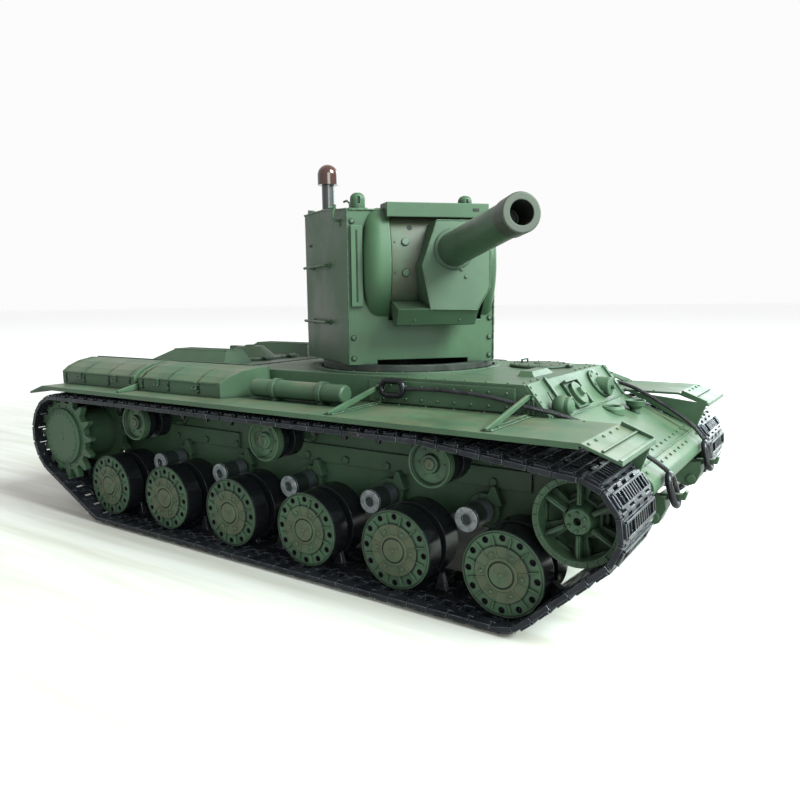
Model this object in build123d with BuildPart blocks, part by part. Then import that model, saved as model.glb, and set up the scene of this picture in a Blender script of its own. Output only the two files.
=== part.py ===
from build123d import *
import os
from math import asin, atan2, cos, degrees, hypot, pi, radians, sin, tan

# A 1:16 scale remote control heavy tank. Millimetres. +X is forward, +Y is the tank's left, +Z is up.
# The origin is on the ground, under the middle of the whole model's box.
# Right-hand pieces are drawn at their real place; the left-hand ones are their mirror images.

os.makedirs("parts", exist_ok=True)

# ---------------------------------------------------------------- driving dimensions
MID = 5.7                      # middle of the road wheels, ahead of the middle of the box

HULL_HALF = 56.5               # half the width of the hull box
HULL_WALL = 2.4
BELLY_Z = 27.0
SPLIT_Z = 82.0                 # where the upper hull sits on the tub
ROOF_Z = 97.0
NOSE_APEX = (MID + 188.6, 57.6)  # corner of the nose before it is rounded
NOSE_FOOT = (MID + 180.5, 49.6)
WELD = (MID + 178.0, 63.7)     # top edge of the nose
PLATE_TOP = (MID + 127.0, ROOF_Z)
PLATE_FOOT = (MID + 140.0, 80.5)

TRACK_HALF = 103.75            # outer edge of the tracks and fenders
TRACK_Y = -81.9                # middle of the right track
LINK_PITCH = 10.07
LINK_COUNT = 84
LINK_PLATE = 2.2
RIB_DEPTH = 1.3
TRACK_WIDTH = 43.7
HORN_HEIGHT = 7.4

WHEEL_PITCH = 54.0
WHEEL_COUNT = 6
WHEEL_R = 18.75
TRACK_GAP = 0.1                # between the wheels and the plate of the track
PITCH_LINE = RIB_DEPTH + LINK_PLATE / 2
WHEEL_Z = RIB_DEPTH + LINK_PLATE + TRACK_GAP + WHEEL_R
PIVOT_AHEAD = 28.0             # swing arm pivot, ahead of and above its wheel
PIVOT_UP = 14.5
RUNNING = 0.05                 # radial clearance of every pin in its bore

SPROCKET_TEETH = 16
SPROCKET_X = MID - 178.0
SPROCKET_Z = 50.0
SPROCKET_PITCH_R = SPROCKET_TEETH * LINK_PITCH / (2 * pi)
IDLER_Z = 50.0
IDLER_R = 18.2
ROLLER_Z = 64.0
ROLLER_R = 11.0
ROLLER_X = [MID - 111.5, MID - 2.8, MID + 97.9]

FENDER_TOP = 83.2
FENDER_T = 1.2

TURRET_X = MID + 27.5
TURRET_YAW = -43.5             # stored pose: the turret looks over the right front corner
TURRET_Z = 101.5
RING_R = 50.0
ROOF_HOLE_R = 47.2
TRUNNION = (2.0, 155.0)        # ahead of the turret's axis, above the ground
GUN_RISE = 4.9                 # degrees, stored pose
GUN_Y = 11.5                   # the gun sits left of the middle of the turret
GUN_Z = 156.5
MUZZLE_X = 145.0

WHEEL_X = [MID + WHEEL_PITCH * (i - (WHEEL_COUNT - 1) / 2) for i in range(WHEEL_COUNT)]
PIVOT_Z = WHEEL_Z + PIVOT_UP


# ---------------------------------------------------------------- helpers
def both_sides(shape, right_name, left_name):
    """Write a right-hand piece and its mirror image."""
    shape.label = right_name
    export_step(shape, f"parts/{right_name}.step")
    twin = mirror(shape, about=Plane.XZ)
    twin.label = left_name
    export_step(twin, f"parts/{left_name}.step")


def group(name, *shapes):
    """Write several separate solids as one node."""
    node = Compound(children=[solid for shape in shapes for solid in shape.solids()])
    node.label = name
    export_step(node, f"parts/{name}.step")
    return node


def turned(outline):
    """A solid of revolution about the Y axis from (radius, y) points."""
    with BuildPart() as body:
        with BuildSketch(Plane.XY):
            with BuildLine():
                Polyline(*outline, close=True)
            make_face()
        revolve(axis=Axis.Y)
    return body.part


def pin(radius, x, z, y_from, y_to):
    """A round bar across the tank."""
    with BuildPart() as bar:
        with BuildSketch(Plane.XZ.offset(-y_from)):
            with Locations((x, z)):
                Circle(radius)
        extrude(amount=y_from - y_to)
    return bar.part


def side_plate(points, y_from, y_to):
    """A flat polygon of (x, z) points, as thick as y_from to y_to."""
    with BuildPart() as plate:
        with BuildSketch(Plane.XZ.offset(-y_from)):
            with BuildLine():
                Polyline(*points, close=True)
            make_face()
        extrude(amount=y_from - y_to)
    return plate.part


# ---------------------------------------------------------------- track run
def tangent_heading(a, b):
    """Heading of the straight run from circle a to circle b, both on its left."""
    dx = b[0] - a[0]
    dz = b[1] - a[1]
    return atan2(dz, dx) - asin((b[2] - a[2]) / hypot(dx, dz))


def track_pieces(idler_x):
    """Arcs and straight runs of the pitch line, from the rearmost point of the sprocket."""
    wheel_line = WHEEL_R + TRACK_GAP + LINK_PLATE / 2
    idler_line = IDLER_R + TRACK_GAP + LINK_PLATE / 2
    roller_line = ROLLER_R + TRACK_GAP + LINK_PLATE / 2
    circles = [(SPROCKET_X, SPROCKET_Z, SPROCKET_PITCH_R),
               (WHEEL_X[0], WHEEL_Z, wheel_line),
               (WHEEL_X[-1], WHEEL_Z, wheel_line),
               (idler_x, IDLER_Z, idler_line),
               (ROLLER_X[2], ROLLER_Z, roller_line),
               (ROLLER_X[0], ROLLER_Z, roller_line)]
    headings = [tangent_heading(circles[i], circles[(i + 1) % 6]) for i in range(6)]
    start = -pi / 2
    pieces = []
    incoming = start
    for i in range(6):
        cx, cz, r = circles[i]
        turn = (headings[i] - incoming) % (2 * pi)
        pieces.append(("arc", cx, cz, r, incoming, turn * r))
        after = circles[(i + 1) % 6]
        run = hypot(after[0] - cx, after[1] - cz)
        straight = (run ** 2 - (after[2] - r) ** 2) ** 0.5
        px = cx + r * sin(headings[i])
        pz = cz - r * cos(headings[i])
        pieces.append(("line", px, pz, 0.0, headings[i], straight))
        incoming = headings[i]
    last = (start - incoming) % (2 * pi)
    pieces.append(("arc", SPROCKET_X, SPROCKET_Z, SPROCKET_PITCH_R, incoming, last * SPROCKET_PITCH_R))
    return pieces


def track_length(idler_x):
    return sum(piece[5] for piece in track_pieces(idler_x))


def solve_idler():
    """The tensioner: the idler moves until the chain of links just closes."""
    low = MID + 150.0
    high = MID + 180.0
    for _ in range(40):
        middle = (low + high) / 2
        if track_length(middle) < LINK_COUNT * LINK_PITCH:
            low = middle
        else:
            high = middle
    return low


def track_point(pieces, distance):
    """Place and heading on the pitch line."""
    for kind, x, z, r, heading, length in pieces:
        if distance <= length:
            break
        distance -= length
    if kind == "line":
        return x + distance * cos(heading), z + distance * sin(heading), heading
    now = heading + distance / r
    return x + r * sin(now), z - r * cos(now), now


IDLER_X = solve_idler()
PIECES = track_pieces(IDLER_X)


# ---------------------------------------------------------------- track links
# A link lies flat, its inner face up, with its pitch line on the X axis.
PLATE_HALF = 4.65
WEB_HALF = 3.5
KNUCKLE_R = 1.1
TONGUES = [-15.9, -5.3, 5.3, 15.9]
FORKS = [-10.6, 0.0, 10.6]
KNUCKLE_WIDTH = 4.9
WINDOW_Y = 13.2

with BuildPart() as link:
    with BuildSketch(Plane.XY.offset(-LINK_PLATE / 2)):
        Rectangle(2 * WEB_HALF, TRACK_WIDTH)
        for side in (-1, 1):
            with Locations((0, side * (TRACK_WIDTH / 2 - 1.5))):
                Rectangle(2 * PLATE_HALF, 3.0)
        with Locations([((WEB_HALF + LINK_PITCH / 2) / 2, y) for y in TONGUES]):
            Rectangle(LINK_PITCH / 2 - WEB_HALF, KNUCKLE_WIDTH)
        with Locations([(-(WEB_HALF + LINK_PITCH / 2) / 2, y) for y in FORKS]):
            Rectangle(LINK_PITCH / 2 - WEB_HALF, KNUCKLE_WIDTH)
        with Locations((0, -WINDOW_Y), (0, WINDOW_Y)):
            Rectangle(5.2, 5.6, mode=Mode.SUBTRACT)
    extrude(amount=LINK_PLATE)
    for y in TONGUES:
        with BuildSketch(Plane.XZ.offset(-y - KNUCKLE_WIDTH / 2)):
            with Locations((LINK_PITCH / 2, 0)):
                Circle(KNUCKLE_R)
        extrude(amount=KNUCKLE_WIDTH)
    for y in FORKS:
        with BuildSketch(Plane.XZ.offset(-y - KNUCKLE_WIDTH / 2)):
            with Locations((-LINK_PITCH / 2, 0)):
                Circle(KNUCKLE_R)
        extrude(amount=KNUCKLE_WIDTH)
    with BuildSketch(Plane.XY.offset(-LINK_PLATE / 2)):
        with Locations((-2.95, 0), (2.95, 0)):
            Rectangle(0.9, TRACK_WIDTH - 5)
    extrude(amount=-RIB_DEPTH)

with BuildPart() as horned_link:
    add(link.part)
    with BuildSketch(Plane.XY.offset(LINK_PLATE / 2)):
        Rectangle(5.6, 3.2)
    with BuildSketch(Plane.XY.offset(LINK_PLATE / 2 + HORN_HEIGHT)):
        Rectangle(1.6, 2.0)
    loft()

links = []
for k in range(LINK_COUNT):
    px, pz, heading = track_point(PIECES, k * LINK_PITCH)
    shape = horned_link.part if k % 2 == 0 else link.part
    links.append(Pos(px, TRACK_Y, pz) * Rot(0, -degrees(heading), 0) * shape)
group("track_right", *links)
group("track_left", *[mirror(one, about=Plane.XZ) for one in links])

# ---------------------------------------------------------------- road wheels
AXLE_R = 2.0
OUTER_RIM = (-95.0, -84.2)
INNER_RIM = (-79.6, -68.5)

road_wheel_blank = turned([
    (AXLE_R + RUNNING, -68.5), (5.0, -68.5), (6.5, -71.0), (14.5, -71.0), (16.0, -68.5),
    (WHEEL_R, -68.5), (WHEEL_R, INNER_RIM[0]), (9.5, INNER_RIM[0]), (9.5, OUTER_RIM[1]),
    (WHEEL_R, OUTER_RIM[1]), (WHEEL_R, -94.0), (17.8, -94.0), (17.8, -94.8), (12.3, -94.8),
    (12.3, -95.6), (5.6, -95.6), (5.2, -96.4), (0, -96.4), (0, -91.5), (AXLE_R + RUNNING, -91.5)])
with BuildPart() as road_wheel:
    add(road_wheel_blank)
    with BuildSketch(Plane.XZ.offset(95.0)):
        with PolarLocations(15.7, 12):
            Circle(1.25)
    extrude(amount=-2.5, mode=Mode.SUBTRACT)
    with BuildSketch(Plane.XZ.offset(95.6)):
        with PolarLocations(9.4, 6):
            Circle(1.0)
    extrude(amount=0.6)

for i, x in enumerate(WHEEL_X):
    both_sides(Pos(x, 0, WHEEL_Z) * road_wheel.part, f"road_wheel_right_{i + 1}", f"road_wheel_left_{i + 1}")

# ---------------------------------------------------------------- swing arms
PIVOT_R = 3.0
BOSS_R = 5.8
ARM_FACE = -78.0
arm_angle = degrees(atan2(PIVOT_UP, PIVOT_AHEAD))
arm_length = hypot(PIVOT_UP, PIVOT_AHEAD)


def swing_arm(boss_face):
    """A trailing arm with its pivot shaft, its boss out to boss_face and the axle of its wheel."""
    with BuildPart() as arm:
        with BuildSketch(Plane.XZ.offset(61.5)):
            with Locations((PIVOT_AHEAD / 2, PIVOT_UP / 2)):
                SlotCenterToCenter(arm_length, 8.4, rotation=arm_angle)
        extrude(amount=6.0)
        with BuildSketch(Plane.XZ.offset(61.5)):
            with Locations((PIVOT_AHEAD, PIVOT_UP)):
                Circle(BOSS_R)
        extrude(amount=-boss_face - 61.5)
        with BuildSketch(Plane.XZ.offset(-boss_face)):
            with Locations((PIVOT_AHEAD, PIVOT_UP)):
                Circle(2.6)
        extrude(amount=-1.2, mode=Mode.SUBTRACT)
        with BuildSketch(Plane.XZ.offset(HULL_HALF - 4.0)):
            with Locations((PIVOT_AHEAD, PIVOT_UP)):
                Circle(PIVOT_R)
        extrude(amount=61.5 - HULL_HALF + 4.0)
        with BuildSketch(Plane.XZ.offset(67.5)):
            Circle(AXLE_R)
        extrude(amount=91.0 - 67.5)
    return arm.part


# The front arm's boss stops short, because it turns behind the idler.
long_arm = swing_arm(ARM_FACE)
front_arm = swing_arm(-67.5)
for i, x in enumerate(WHEEL_X):
    arm_shape = front_arm if i == WHEEL_COUNT - 1 else long_arm
    both_sides(Pos(x, 0, WHEEL_Z) * arm_shape, f"swing_arm_right_{i + 1}", f"swing_arm_left_{i + 1}")

# ---------------------------------------------------------------- drive sprockets
SHAFT_R = 4.0
RING_Y = (-97.1, -68.7)
RING_T = 4.0
TOOTH_TIP_R = 28.6
TOOTH_ROOT_R = 22.4

sprocket_hub = turned([
    (0, -48.0), (SHAFT_R, -48.0), (SHAFT_R, -66.7), (21.0, -66.7), (21.0, -70.7), (15.5, -70.7),
    (15.5, -93.1), (21.0, -93.1), (21.0, -97.1), (18.3, -97.1), (18.3, -98.6), (16.8, -99.4), (0, -99.4)])
with BuildPart() as drive_sprocket:
    add(sprocket_hub)
    for ring_y in (66.7, 93.1):
        with BuildSketch(Plane.XZ.offset(ring_y)):
            Circle(TOOTH_ROOT_R)
            with PolarLocations(0, SPROCKET_TEETH):
                Polygon((TOOTH_ROOT_R - 1.5, -2.5), (TOOTH_ROOT_R + 1.2, -2.2), (TOOTH_TIP_R, -0.9),
                        (TOOTH_TIP_R, 0.9), (TOOTH_ROOT_R + 1.2, 2.2), (TOOTH_ROOT_R - 1.5, 2.5), align=None)
            Circle(14.0, mode=Mode.SUBTRACT)
        extrude(amount=RING_T)
    with BuildSketch(Plane.XZ.offset(99.4)):
        with PolarLocations(15.2, 24):
            Circle(0.5)
    extrude(amount=0.4)

both_sides(Pos(SPROCKET_X, 0, SPROCKET_Z) * drive_sprocket.part, "drive_sprocket_right", "drive_sprocket_left")

# ---------------------------------------------------------------- idler wheels
IDLER_PIN_R = 3.0
idler_blank = turned([
    (IDLER_PIN_R + RUNNING, -68.5), (7.0, -68.5), (7.0, -79.0), (9.0, -79.6), (15.6, -79.6), (15.6, -68.5),
    (IDLER_R, -68.5), (IDLER_R, -79.8), (9.6, -79.8), (9.6, -84.0), (IDLER_R, -84.0), (IDLER_R, -94.5),
    (15.6, -94.5), (15.6, -87.0), (7.0, -87.0), (5.4, -92.6), (5.0, -93.6), (1.6, -93.6), (1.6, -90.5),
    (IDLER_PIN_R + RUNNING, -90.5)])
with BuildPart() as idler_wheel:
    add(idler_blank)
    with BuildSketch(Plane.XZ.offset(84.0)):
        with PolarLocations(0, 6):
            Polygon((8.0, -2.2), (15.0, -4.6), (15.0, 4.6), (8.0, 2.2), align=None)
    extrude(amount=3.0, mode=Mode.SUBTRACT)
    with BuildSketch(Plane.XZ.offset(84.5)):
        with PolarLocations(11.2, 6, start_angle=30):
            Rectangle(10.0, 1.7)
    extrude(amount=7.5)

both_sides(Pos(IDLER_X, 0, IDLER_Z) * idler_wheel.part, "idler_wheel_right", "idler_wheel_left")

# ---------------------------------------------------------------- return rollers
ROLLER_PIN_R = 1.7
return_roller = turned([
    (ROLLER_PIN_R + RUNNING, -72.5), (ROLLER_R, -72.5), (ROLLER_R, -79.6), (3.2, -79.6), (3.2, -84.2),
    (ROLLER_R, -84.2), (ROLLER_R, -91.0), (9.6, -91.0), (9.0, -89.6), (4.6, -89.6), (4.0, -91.4),
    (0, -91.4), (0, -88.5), (ROLLER_PIN_R + RUNNING, -88.5)])
for i, x in enumerate(ROLLER_X):
    both_sides(Pos(x, 0, ROLLER_Z) * return_roller, f"return_roller_right_{i + 1}", f"return_roller_left_{i + 1}")

# ---------------------------------------------------------------- lower hull: the tub
TUB_OUTLINE = [
    (MID - 190.0, SPLIT_Z), (MID - 195.0, 76.0), (MID - 193.0, 56.0), (MID - 170.0, BELLY_Z),
    (MID + 140.0, BELLY_Z), NOSE_FOOT, NOSE_APEX, WELD, (WELD[0] - 0.9, WELD[1] - 2.1),
    (MID + 139.0, 78.4), (MID + 136.4, SPLIT_Z)]
TUB_CORE = [
    (MID - 186.0, SPLIT_Z + 1.0), (MID - 192.0, 76.0), (MID - 190.6, 57.0), (MID - 168.8, BELLY_Z + HULL_WALL),
    (MID + 139.4, BELLY_Z + HULL_WALL), (MID + 178.6, 51.4), (MID + 182.4, 55.2), (MID + 181.8, 57.6),
    (MID + 176.5, 59.4), (MID + 137.5, 76.5), (MID + 133.0, SPLIT_Z + 1.0)]
SIDE_STRIPS = [(-121.0, -57.0), (-10.0, 68.0), (78.0, 132.0)]
BUMP_STOPS = [x + 33.0 for x in WHEEL_X]

with BuildPart() as lower_hull:
    add(side_plate(TUB_OUTLINE, HULL_HALF, -HULL_HALF))
    nose_edges = lower_hull.edges().filter_by(Axis.Y).group_by(Axis.X)[-1]
    fillet(nose_edges, 5.0)
    add(side_plate(TUB_CORE, HULL_HALF - HULL_WALL, HULL_WALL - HULL_HALF), mode=Mode.SUBTRACT)
    for side in (-1, 1):
        wall = Plane.XZ.offset(-side * HULL_HALF)
        out = -side
        with BuildSketch(wall):
            with Locations([(x + PIVOT_AHEAD, PIVOT_Z) for x in WHEEL_X]):
                Circle(8.0)
        extrude(amount=out * 4.0)
        with BuildSketch(wall):
            with Locations([(x, ROLLER_Z) for x in ROLLER_X]):
                Circle(4.2)
        extrude(amount=out * 15.4)
        with BuildSketch(wall):
            with Locations([(x, ROLLER_Z) for x in ROLLER_X]):
                Circle(ROLLER_PIN_R)
        extrude(amount=out * 31.5)
        with BuildSketch(wall):
            with Locations((IDLER_X, IDLER_Z)):
                SlotOverall(26.0, 12.6)
        extrude(amount=out * 6.0)
        with BuildSketch(wall):
            with Locations((IDLER_X, IDLER_Z)):
                Circle(6.4)
        extrude(amount=out * 11.5)
        with BuildSketch(wall):
            with Locations((IDLER_X, IDLER_Z)):
                Circle(IDLER_PIN_R)
        extrude(amount=out * 33.5)
        with BuildSketch(wall):
            with Locations((SPROCKET_X, SPROCKET_Z)):
                Circle(15.0)
        extrude(amount=out * 8.5)
        for x_from, x_to in SIDE_STRIPS:
            with BuildSketch(wall):
                with Locations((MID + (x_from + x_to) / 2, 52.5)):
                    Rectangle(x_to - x_from, 9.5)
            extrude(amount=out * 1.4)
            bolts = int((x_to - x_from) / 27)
            with BuildSketch(wall):
                with Locations([(MID + x_from + 8 + 27 * k, 50.5) for k in range(bolts + 1)]):
                    Circle(1.9)
            extrude(amount=out * 2.6)
        with BuildSketch(wall):
            with Locations([(x, 44.5) for x in BUMP_STOPS if x < IDLER_X - 24]):
                Trapezoid(9.0, 9.0, 68)
        extrude(amount=out * 4.4)
        with BuildSketch(wall):
            with Locations([(x + PIVOT_AHEAD, PIVOT_Z) for x in WHEEL_X]):
                Circle(PIVOT_R + RUNNING)
        extrude(amount=out * 4.0, mode=Mode.SUBTRACT)
        with BuildSketch(Plane.XZ.offset(-side * (HULL_HALF - 4.5))):
            with Locations([(x + PIVOT_AHEAD, PIVOT_Z) for x in WHEEL_X]):
                Circle(PIVOT_R + RUNNING)
        extrude(amount=out * 4.5, mode=Mode.SUBTRACT)
        with BuildSketch(Plane.XZ.offset(-side * (HULL_HALF - HULL_WALL))):
            with Locations((SPROCKET_X, SPROCKET_Z)):
                Circle(SHAFT_R + RUNNING)
        extrude(amount=out * (HULL_WALL + 8.5), mode=Mode.SUBTRACT)
lower_hull.part.label = "lower_hull"
export_step(lower_hull.part, "parts/lower_hull.step")

# ---------------------------------------------------------------- upper hull: roof, driver's plate, glacis
UPPER_OUTLINE = [
    (MID - 190.0, SPLIT_Z), (MID - 195.0, 84.5), (MID - 193.0, 87.0), (MID - 150.0, ROOF_Z), PLATE_TOP,
    PLATE_FOOT, WELD, (WELD[0] - 0.9, WELD[1] - 2.1), (MID + 139.0, 78.4), (MID + 136.4, SPLIT_Z)]
UPPER_CORE = [
    (MID - 188.0, SPLIT_Z - 1.0), (MID - 191.0, 85.6), (MID - 149.6, ROOF_Z - HULL_WALL),
    (MID + 125.4, ROOF_Z - HULL_WALL), (MID + 136.0, SPLIT_Z - 1.0)]
plate_slope = degrees(atan2(PLATE_TOP[1] - PLATE_FOOT[1], PLATE_FOOT[0] - PLATE_TOP[0]))
plate_middle = ((PLATE_TOP[0] + PLATE_FOOT[0]) / 2, (PLATE_TOP[1] + PLATE_FOOT[1]) / 2)
# Local x of this plane runs to the tank's left, local y runs up the driver's plate.
DRIVER_PLANE = Plane(origin=(plate_middle[0], 0, plate_middle[1]), x_dir=(0, 1, 0),
                     z_dir=(sin(radians(plate_slope)), 0, cos(radians(plate_slope))))

with BuildPart() as upper_hull:
    add(side_plate(UPPER_OUTLINE, HULL_HALF, -HULL_HALF))
    add(side_plate(UPPER_CORE, HULL_HALF - HULL_WALL, HULL_WALL - HULL_HALF), mode=Mode.SUBTRACT)
    # turret opening with a low splash collar round it
    with BuildSketch(Plane.XY.offset(ROOF_Z)):
        with Locations((TURRET_X, 0)):
            Circle(54.5)
            Circle(51.5, mode=Mode.SUBTRACT)
    extrude(amount=1.2)
    with BuildSketch(Plane.XY.offset(ROOF_Z - HULL_WALL)):
        with Locations((TURRET_X, 0)):
            Circle(ROOF_HOLE_R)
    extrude(amount=HULL_WALL, mode=Mode.SUBTRACT)
    # engine hatch with its dome, and the two armoured air intakes beside it
    with BuildSketch(Plane.XY.offset(ROOF_Z)):
        with Locations((MID - 108.0, 0)):
            RectangleRounded(62.0, 44.0, 3.0)
    extrude(amount=1.4)
    with BuildSketch(Plane.XY.offset(ROOF_Z + 1.4)):
        with Locations((MID - 104.0, 0)):
            Circle(17.0)
    with BuildSketch(Plane.XY.offset(ROOF_Z + 8.0)):
        with Locations((MID - 104.0, 0)):
            Circle(9.0)
    loft()
    for side in (-1, 1):
        with BuildSketch(Plane.XY.offset(ROOF_Z)):
            with Locations((MID - 112.0, side * 39.0)):
                Rectangle(74.0, 24.0)
        with BuildSketch(Plane.XY.offset(ROOF_Z + 8.0)):
            with Locations((MID - 104.0, side * 38.0)):
                Rectangle(50.0, 14.0)
        loft()
    # side strips with bolts, above the fenders
    for side in (-1, 1):
        with BuildSketch(Plane.XZ.offset(-side * HULL_HALF)):
            with Locations((MID + 82.0, 89.6)):
                Rectangle(82.0, 11.4)
        extrude(amount=-side * 1.2)
    # stepped edge strips and the splash strip on the driver's plate
    for side in (-1, 1):
        with BuildSketch(DRIVER_PLANE):
            with Locations((side * 54.6, 0)):
                Rectangle(3.4, 20.0)
        extrude(amount=1.2)
    with BuildSketch(DRIVER_PLANE):
        with Locations((-34.0, 2.0)):
            Rectangle(1.6, 18.0)
    extrude(amount=1.6)
    # small block on the roof behind the plate
    with BuildSketch(Plane.XY.offset(ROOF_Z)):
        with Locations((MID + 114.0, -12.0)):
            Rectangle(9.0, 26.0)
    with BuildSketch(Plane.XY.offset(ROOF_Z + 2.6)):
        with Locations((MID + 113.0, -12.0)):
            Rectangle(6.0, 20.0)
    loft()
upper_hull.part.label = "upper_hull"
export_step(upper_hull.part, "parts/upper_hull.step")

# ---------------------------------------------------------------- fenders
FENDER_OUTLINE = [
    (MID - 203.5, 77.4), (MID - 203.5, 78.6), (MID - 189.0, FENDER_TOP), (MID + 170.0, FENDER_TOP),
    (MID + 185.5, 77.6), (MID + 185.5, 76.4), (MID + 169.8, FENDER_TOP - FENDER_T),
    (MID - 188.8, FENDER_TOP - FENDER_T)]
FENDER_INNER = HULL_HALF

with BuildPart() as fender:
    add(side_plate(FENDER_OUTLINE, -FENDER_INNER, -TRACK_HALF))
    # turned-down outer lip, front cross strip and the wall down to the glacis
    add(side_plate([(MID - 188.0, 80.8), (MID - 188.0, 82.4), (MID + 169.0, 82.4), (MID + 169.0, 80.8)],
                   1.0 - TRACK_HALF, -TRACK_HALF))
    add(side_plate([(MID + 171.0, 82.4), (MID + 171.6, 84.6), (MID + 184.6, 79.4), (MID + 184.6, 77.2)],
                   -FENDER_INNER, -FENDER_INNER - 1.4))
    add(side_plate([(MID + 141.6, 82.4), (MID + 184.6, 77.8), (MID + 179.5, 63.2), (MID + 178.2, 64.0)],
                   -FENDER_INNER, -FENDER_INNER - 1.2))
group("fenders", fender.part, mirror(fender.part, about=Plane.XZ))

# ---------------------------------------------------------------- fender brackets
BRACKET_X = [MID - 112.0, MID + 48.4, MID + 130.0]
with BuildPart() as bracket:
    with BuildSketch(Plane.YZ):
        with BuildLine():
            Polyline((-HULL_HALF - 1.2, FENDER_TOP), (-HULL_HALF - 1.2, 93.0), (-HULL_HALF - 3.2, 93.0),
                     (-101.0, 84.6), (-101.0, FENDER_TOP), close=True)
        make_face()
        with BuildLine():
            Polyline((-HULL_HALF - 2.2, FENDER_TOP + 1.2), (-HULL_HALF - 2.2, 91.1), (-88.0, FENDER_TOP + 1.2),
                     close=True)
        make_face(mode=Mode.SUBTRACT)
    extrude(amount=0.7, both=True)
brackets = [Pos(x, 0, 0) * bracket.part for x in BRACKET_X]
group("fender_brackets", *brackets, *[mirror(one, about=Plane.XZ) for one in brackets])

# ---------------------------------------------------------------- stowage on the fenders
BIN_OUTLINE = [(-60.5, FENDER_TOP), (-60.5, 99.0), (-66.0, 99.4), (-76.0, 97.6), (-83.5, 94.6), (-87.5, 91.6),
               (-87.5, FENDER_TOP)]
with BuildPart() as rear_bin:
    with BuildSketch(Plane.YZ.offset(MID - 191.0)):
        with BuildLine():
            Polyline(*BIN_OUTLINE, close=True)
        make_face()
    extrude(amount=77.0)
with BuildPart() as front_bin:
    with BuildSketch(Plane.YZ.offset(MID - 110.0)):
        with BuildLine():
            Polyline(*BIN_OUTLINE, close=True)
        make_face()
    extrude(amount=83.0)
    # the front end is cut on the slant
    with BuildSketch(Plane.XY.offset(FENDER_TOP)):
        with BuildLine():
            Polyline((MID - 39.0, -88.5), (MID - 26.0, -88.5), (MID - 26.0, -60.0), close=True)
        make_face()
    extrude(amount=20.0, mode=Mode.SUBTRACT)

DRUM_R = 5.0
DRUM_Y = -75.5
drum_z = FENDER_TOP + 0.9 + DRUM_R
with BuildPart() as drum:
    with BuildSketch(Plane.YZ.offset(MID - 24.0)):
        with Locations((DRUM_Y, drum_z)):
            Circle(DRUM_R)
    extrude(amount=64.0)
    fillet(drum.edges().filter_by(GeomType.CIRCLE), 1.6)
with BuildPart() as strap:
    with BuildSketch(Plane.YZ):
        with Locations((DRUM_Y, drum_z)):
            Circle(DRUM_R + 0.9)
        with Locations((DRUM_Y, (FENDER_TOP + drum_z) / 2)):
            Rectangle(7.0, drum_z - FENDER_TOP)
        with Locations((DRUM_Y, drum_z)):
            Circle(DRUM_R, mode=Mode.SUBTRACT)
    extrude(amount=1.4, both=True)
straps = [Pos(MID + x, 0, 0) * strap.part for x in (-7.0, 25.0)]
stowage = [rear_bin.part, front_bin.part, drum.part, *straps]
group("fender_stowage", *stowage, *[mirror(one, about=Plane.XZ) for one in stowage])

# ---------------------------------------------------------------- fittings on the hull front
# The headlight stands at the foot of the driver's plate, with a round port and the horn beyond the visor.
def glacis_z(x):
    """Height of the glacis at x."""
    slope = (PLATE_FOOT[1] - WELD[1]) / (WELD[0] - PLATE_FOOT[0])
    return PLATE_FOOT[1] - (x - PLATE_FOOT[0]) * slope


below_glacis = side_plate([PLATE_TOP, PLATE_FOOT, WELD, (WELD[0], 40.0), (PLATE_TOP[0], 40.0)], 60.0, -60.0)


def standing(shape):
    """Trim a fitting to the glacis and driver's plate that it stands on."""
    with BuildPart() as trimmed:
        add(shape)
        add(below_glacis, mode=Mode.SUBTRACT)
    return trimmed.part


def cup(x, y, outline):
    """A round bowl or ring about an upright axis, from (radius, height above the glacis) points."""
    with BuildPart() as body:
        with BuildSketch(Plane.XZ):
            with BuildLine():
                Polyline(*outline, close=True)
            make_face()
        revolve(axis=Axis.Z)
    return standing(Pos(x, y, glacis_z(x)) * body.part)


LAMP = (MID + 140.8, -45.0, 87.2)
LAMP_R = 4.8
with BuildPart() as lamp:
    with BuildSketch(Plane.XZ):
        with BuildLine():
            Line((0, -LAMP_R), (0, LAMP_R))
            ThreePointArc((0, LAMP_R), (LAMP_R, 0), (0, -LAMP_R))
        make_face()
    revolve(axis=Axis.Z)
    with BuildSketch(Plane.XY.offset(-9.0)):
        Circle(1.4)
        with Locations((0, 4.6)):
            Rectangle(4.6, 1.6)
        with Locations((0, 2.6)):
            Rectangle(1.2, 5.2)
    extrude(amount=7.6)
horn = cup(MID + 153.0, 32.0, [(0, -3.0), (2.8, -3.0), (2.8, 1.6), (4.6, 3.4), (5.4, 6.2), (4.6, 6.2), (3.9, 4.2),
                               (2.4, 2.6), (0, 2.2)])
port = cup(MID + 146.5, 13.0, [(0, -4.0), (6.2, -4.0), (6.2, 1.0), (5.2, 2.2), (4.0, 2.2), (4.0, 0.2), (0, 0.2)])
group("headlights", standing(Pos(*LAMP) * lamp.part), port, horn)

with BuildPart() as driver_visor:
    with BuildSketch(DRIVER_PLANE):
        with Locations((-11.0, -1.2)):
            RectangleRounded(17.0, 15.6, 1.0)
    extrude(amount=1.6)
    with BuildSketch(DRIVER_PLANE.offset(1.6)):
        with Locations((-12.5, -2.0)):
            Circle(6.2)
    extrude(amount=2.2)
    with BuildSketch(DRIVER_PLANE.offset(3.8)):
        with Locations((-12.5, -2.0)):
            Circle(2.6)
    extrude(amount=2.2, taper=15)
    with BuildSketch(DRIVER_PLANE.offset(1.6)):
        with Locations((-11.0, 5.8)):
            Rectangle(17.0, 1.4)
        with Locations((-3.2, -1.2)):
            Rectangle(1.4, 15.4)
    extrude(amount=1.8)
driver_visor.part.label = "driver_visor"
export_step(driver_visor.part, "parts/driver_visor.step")

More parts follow.
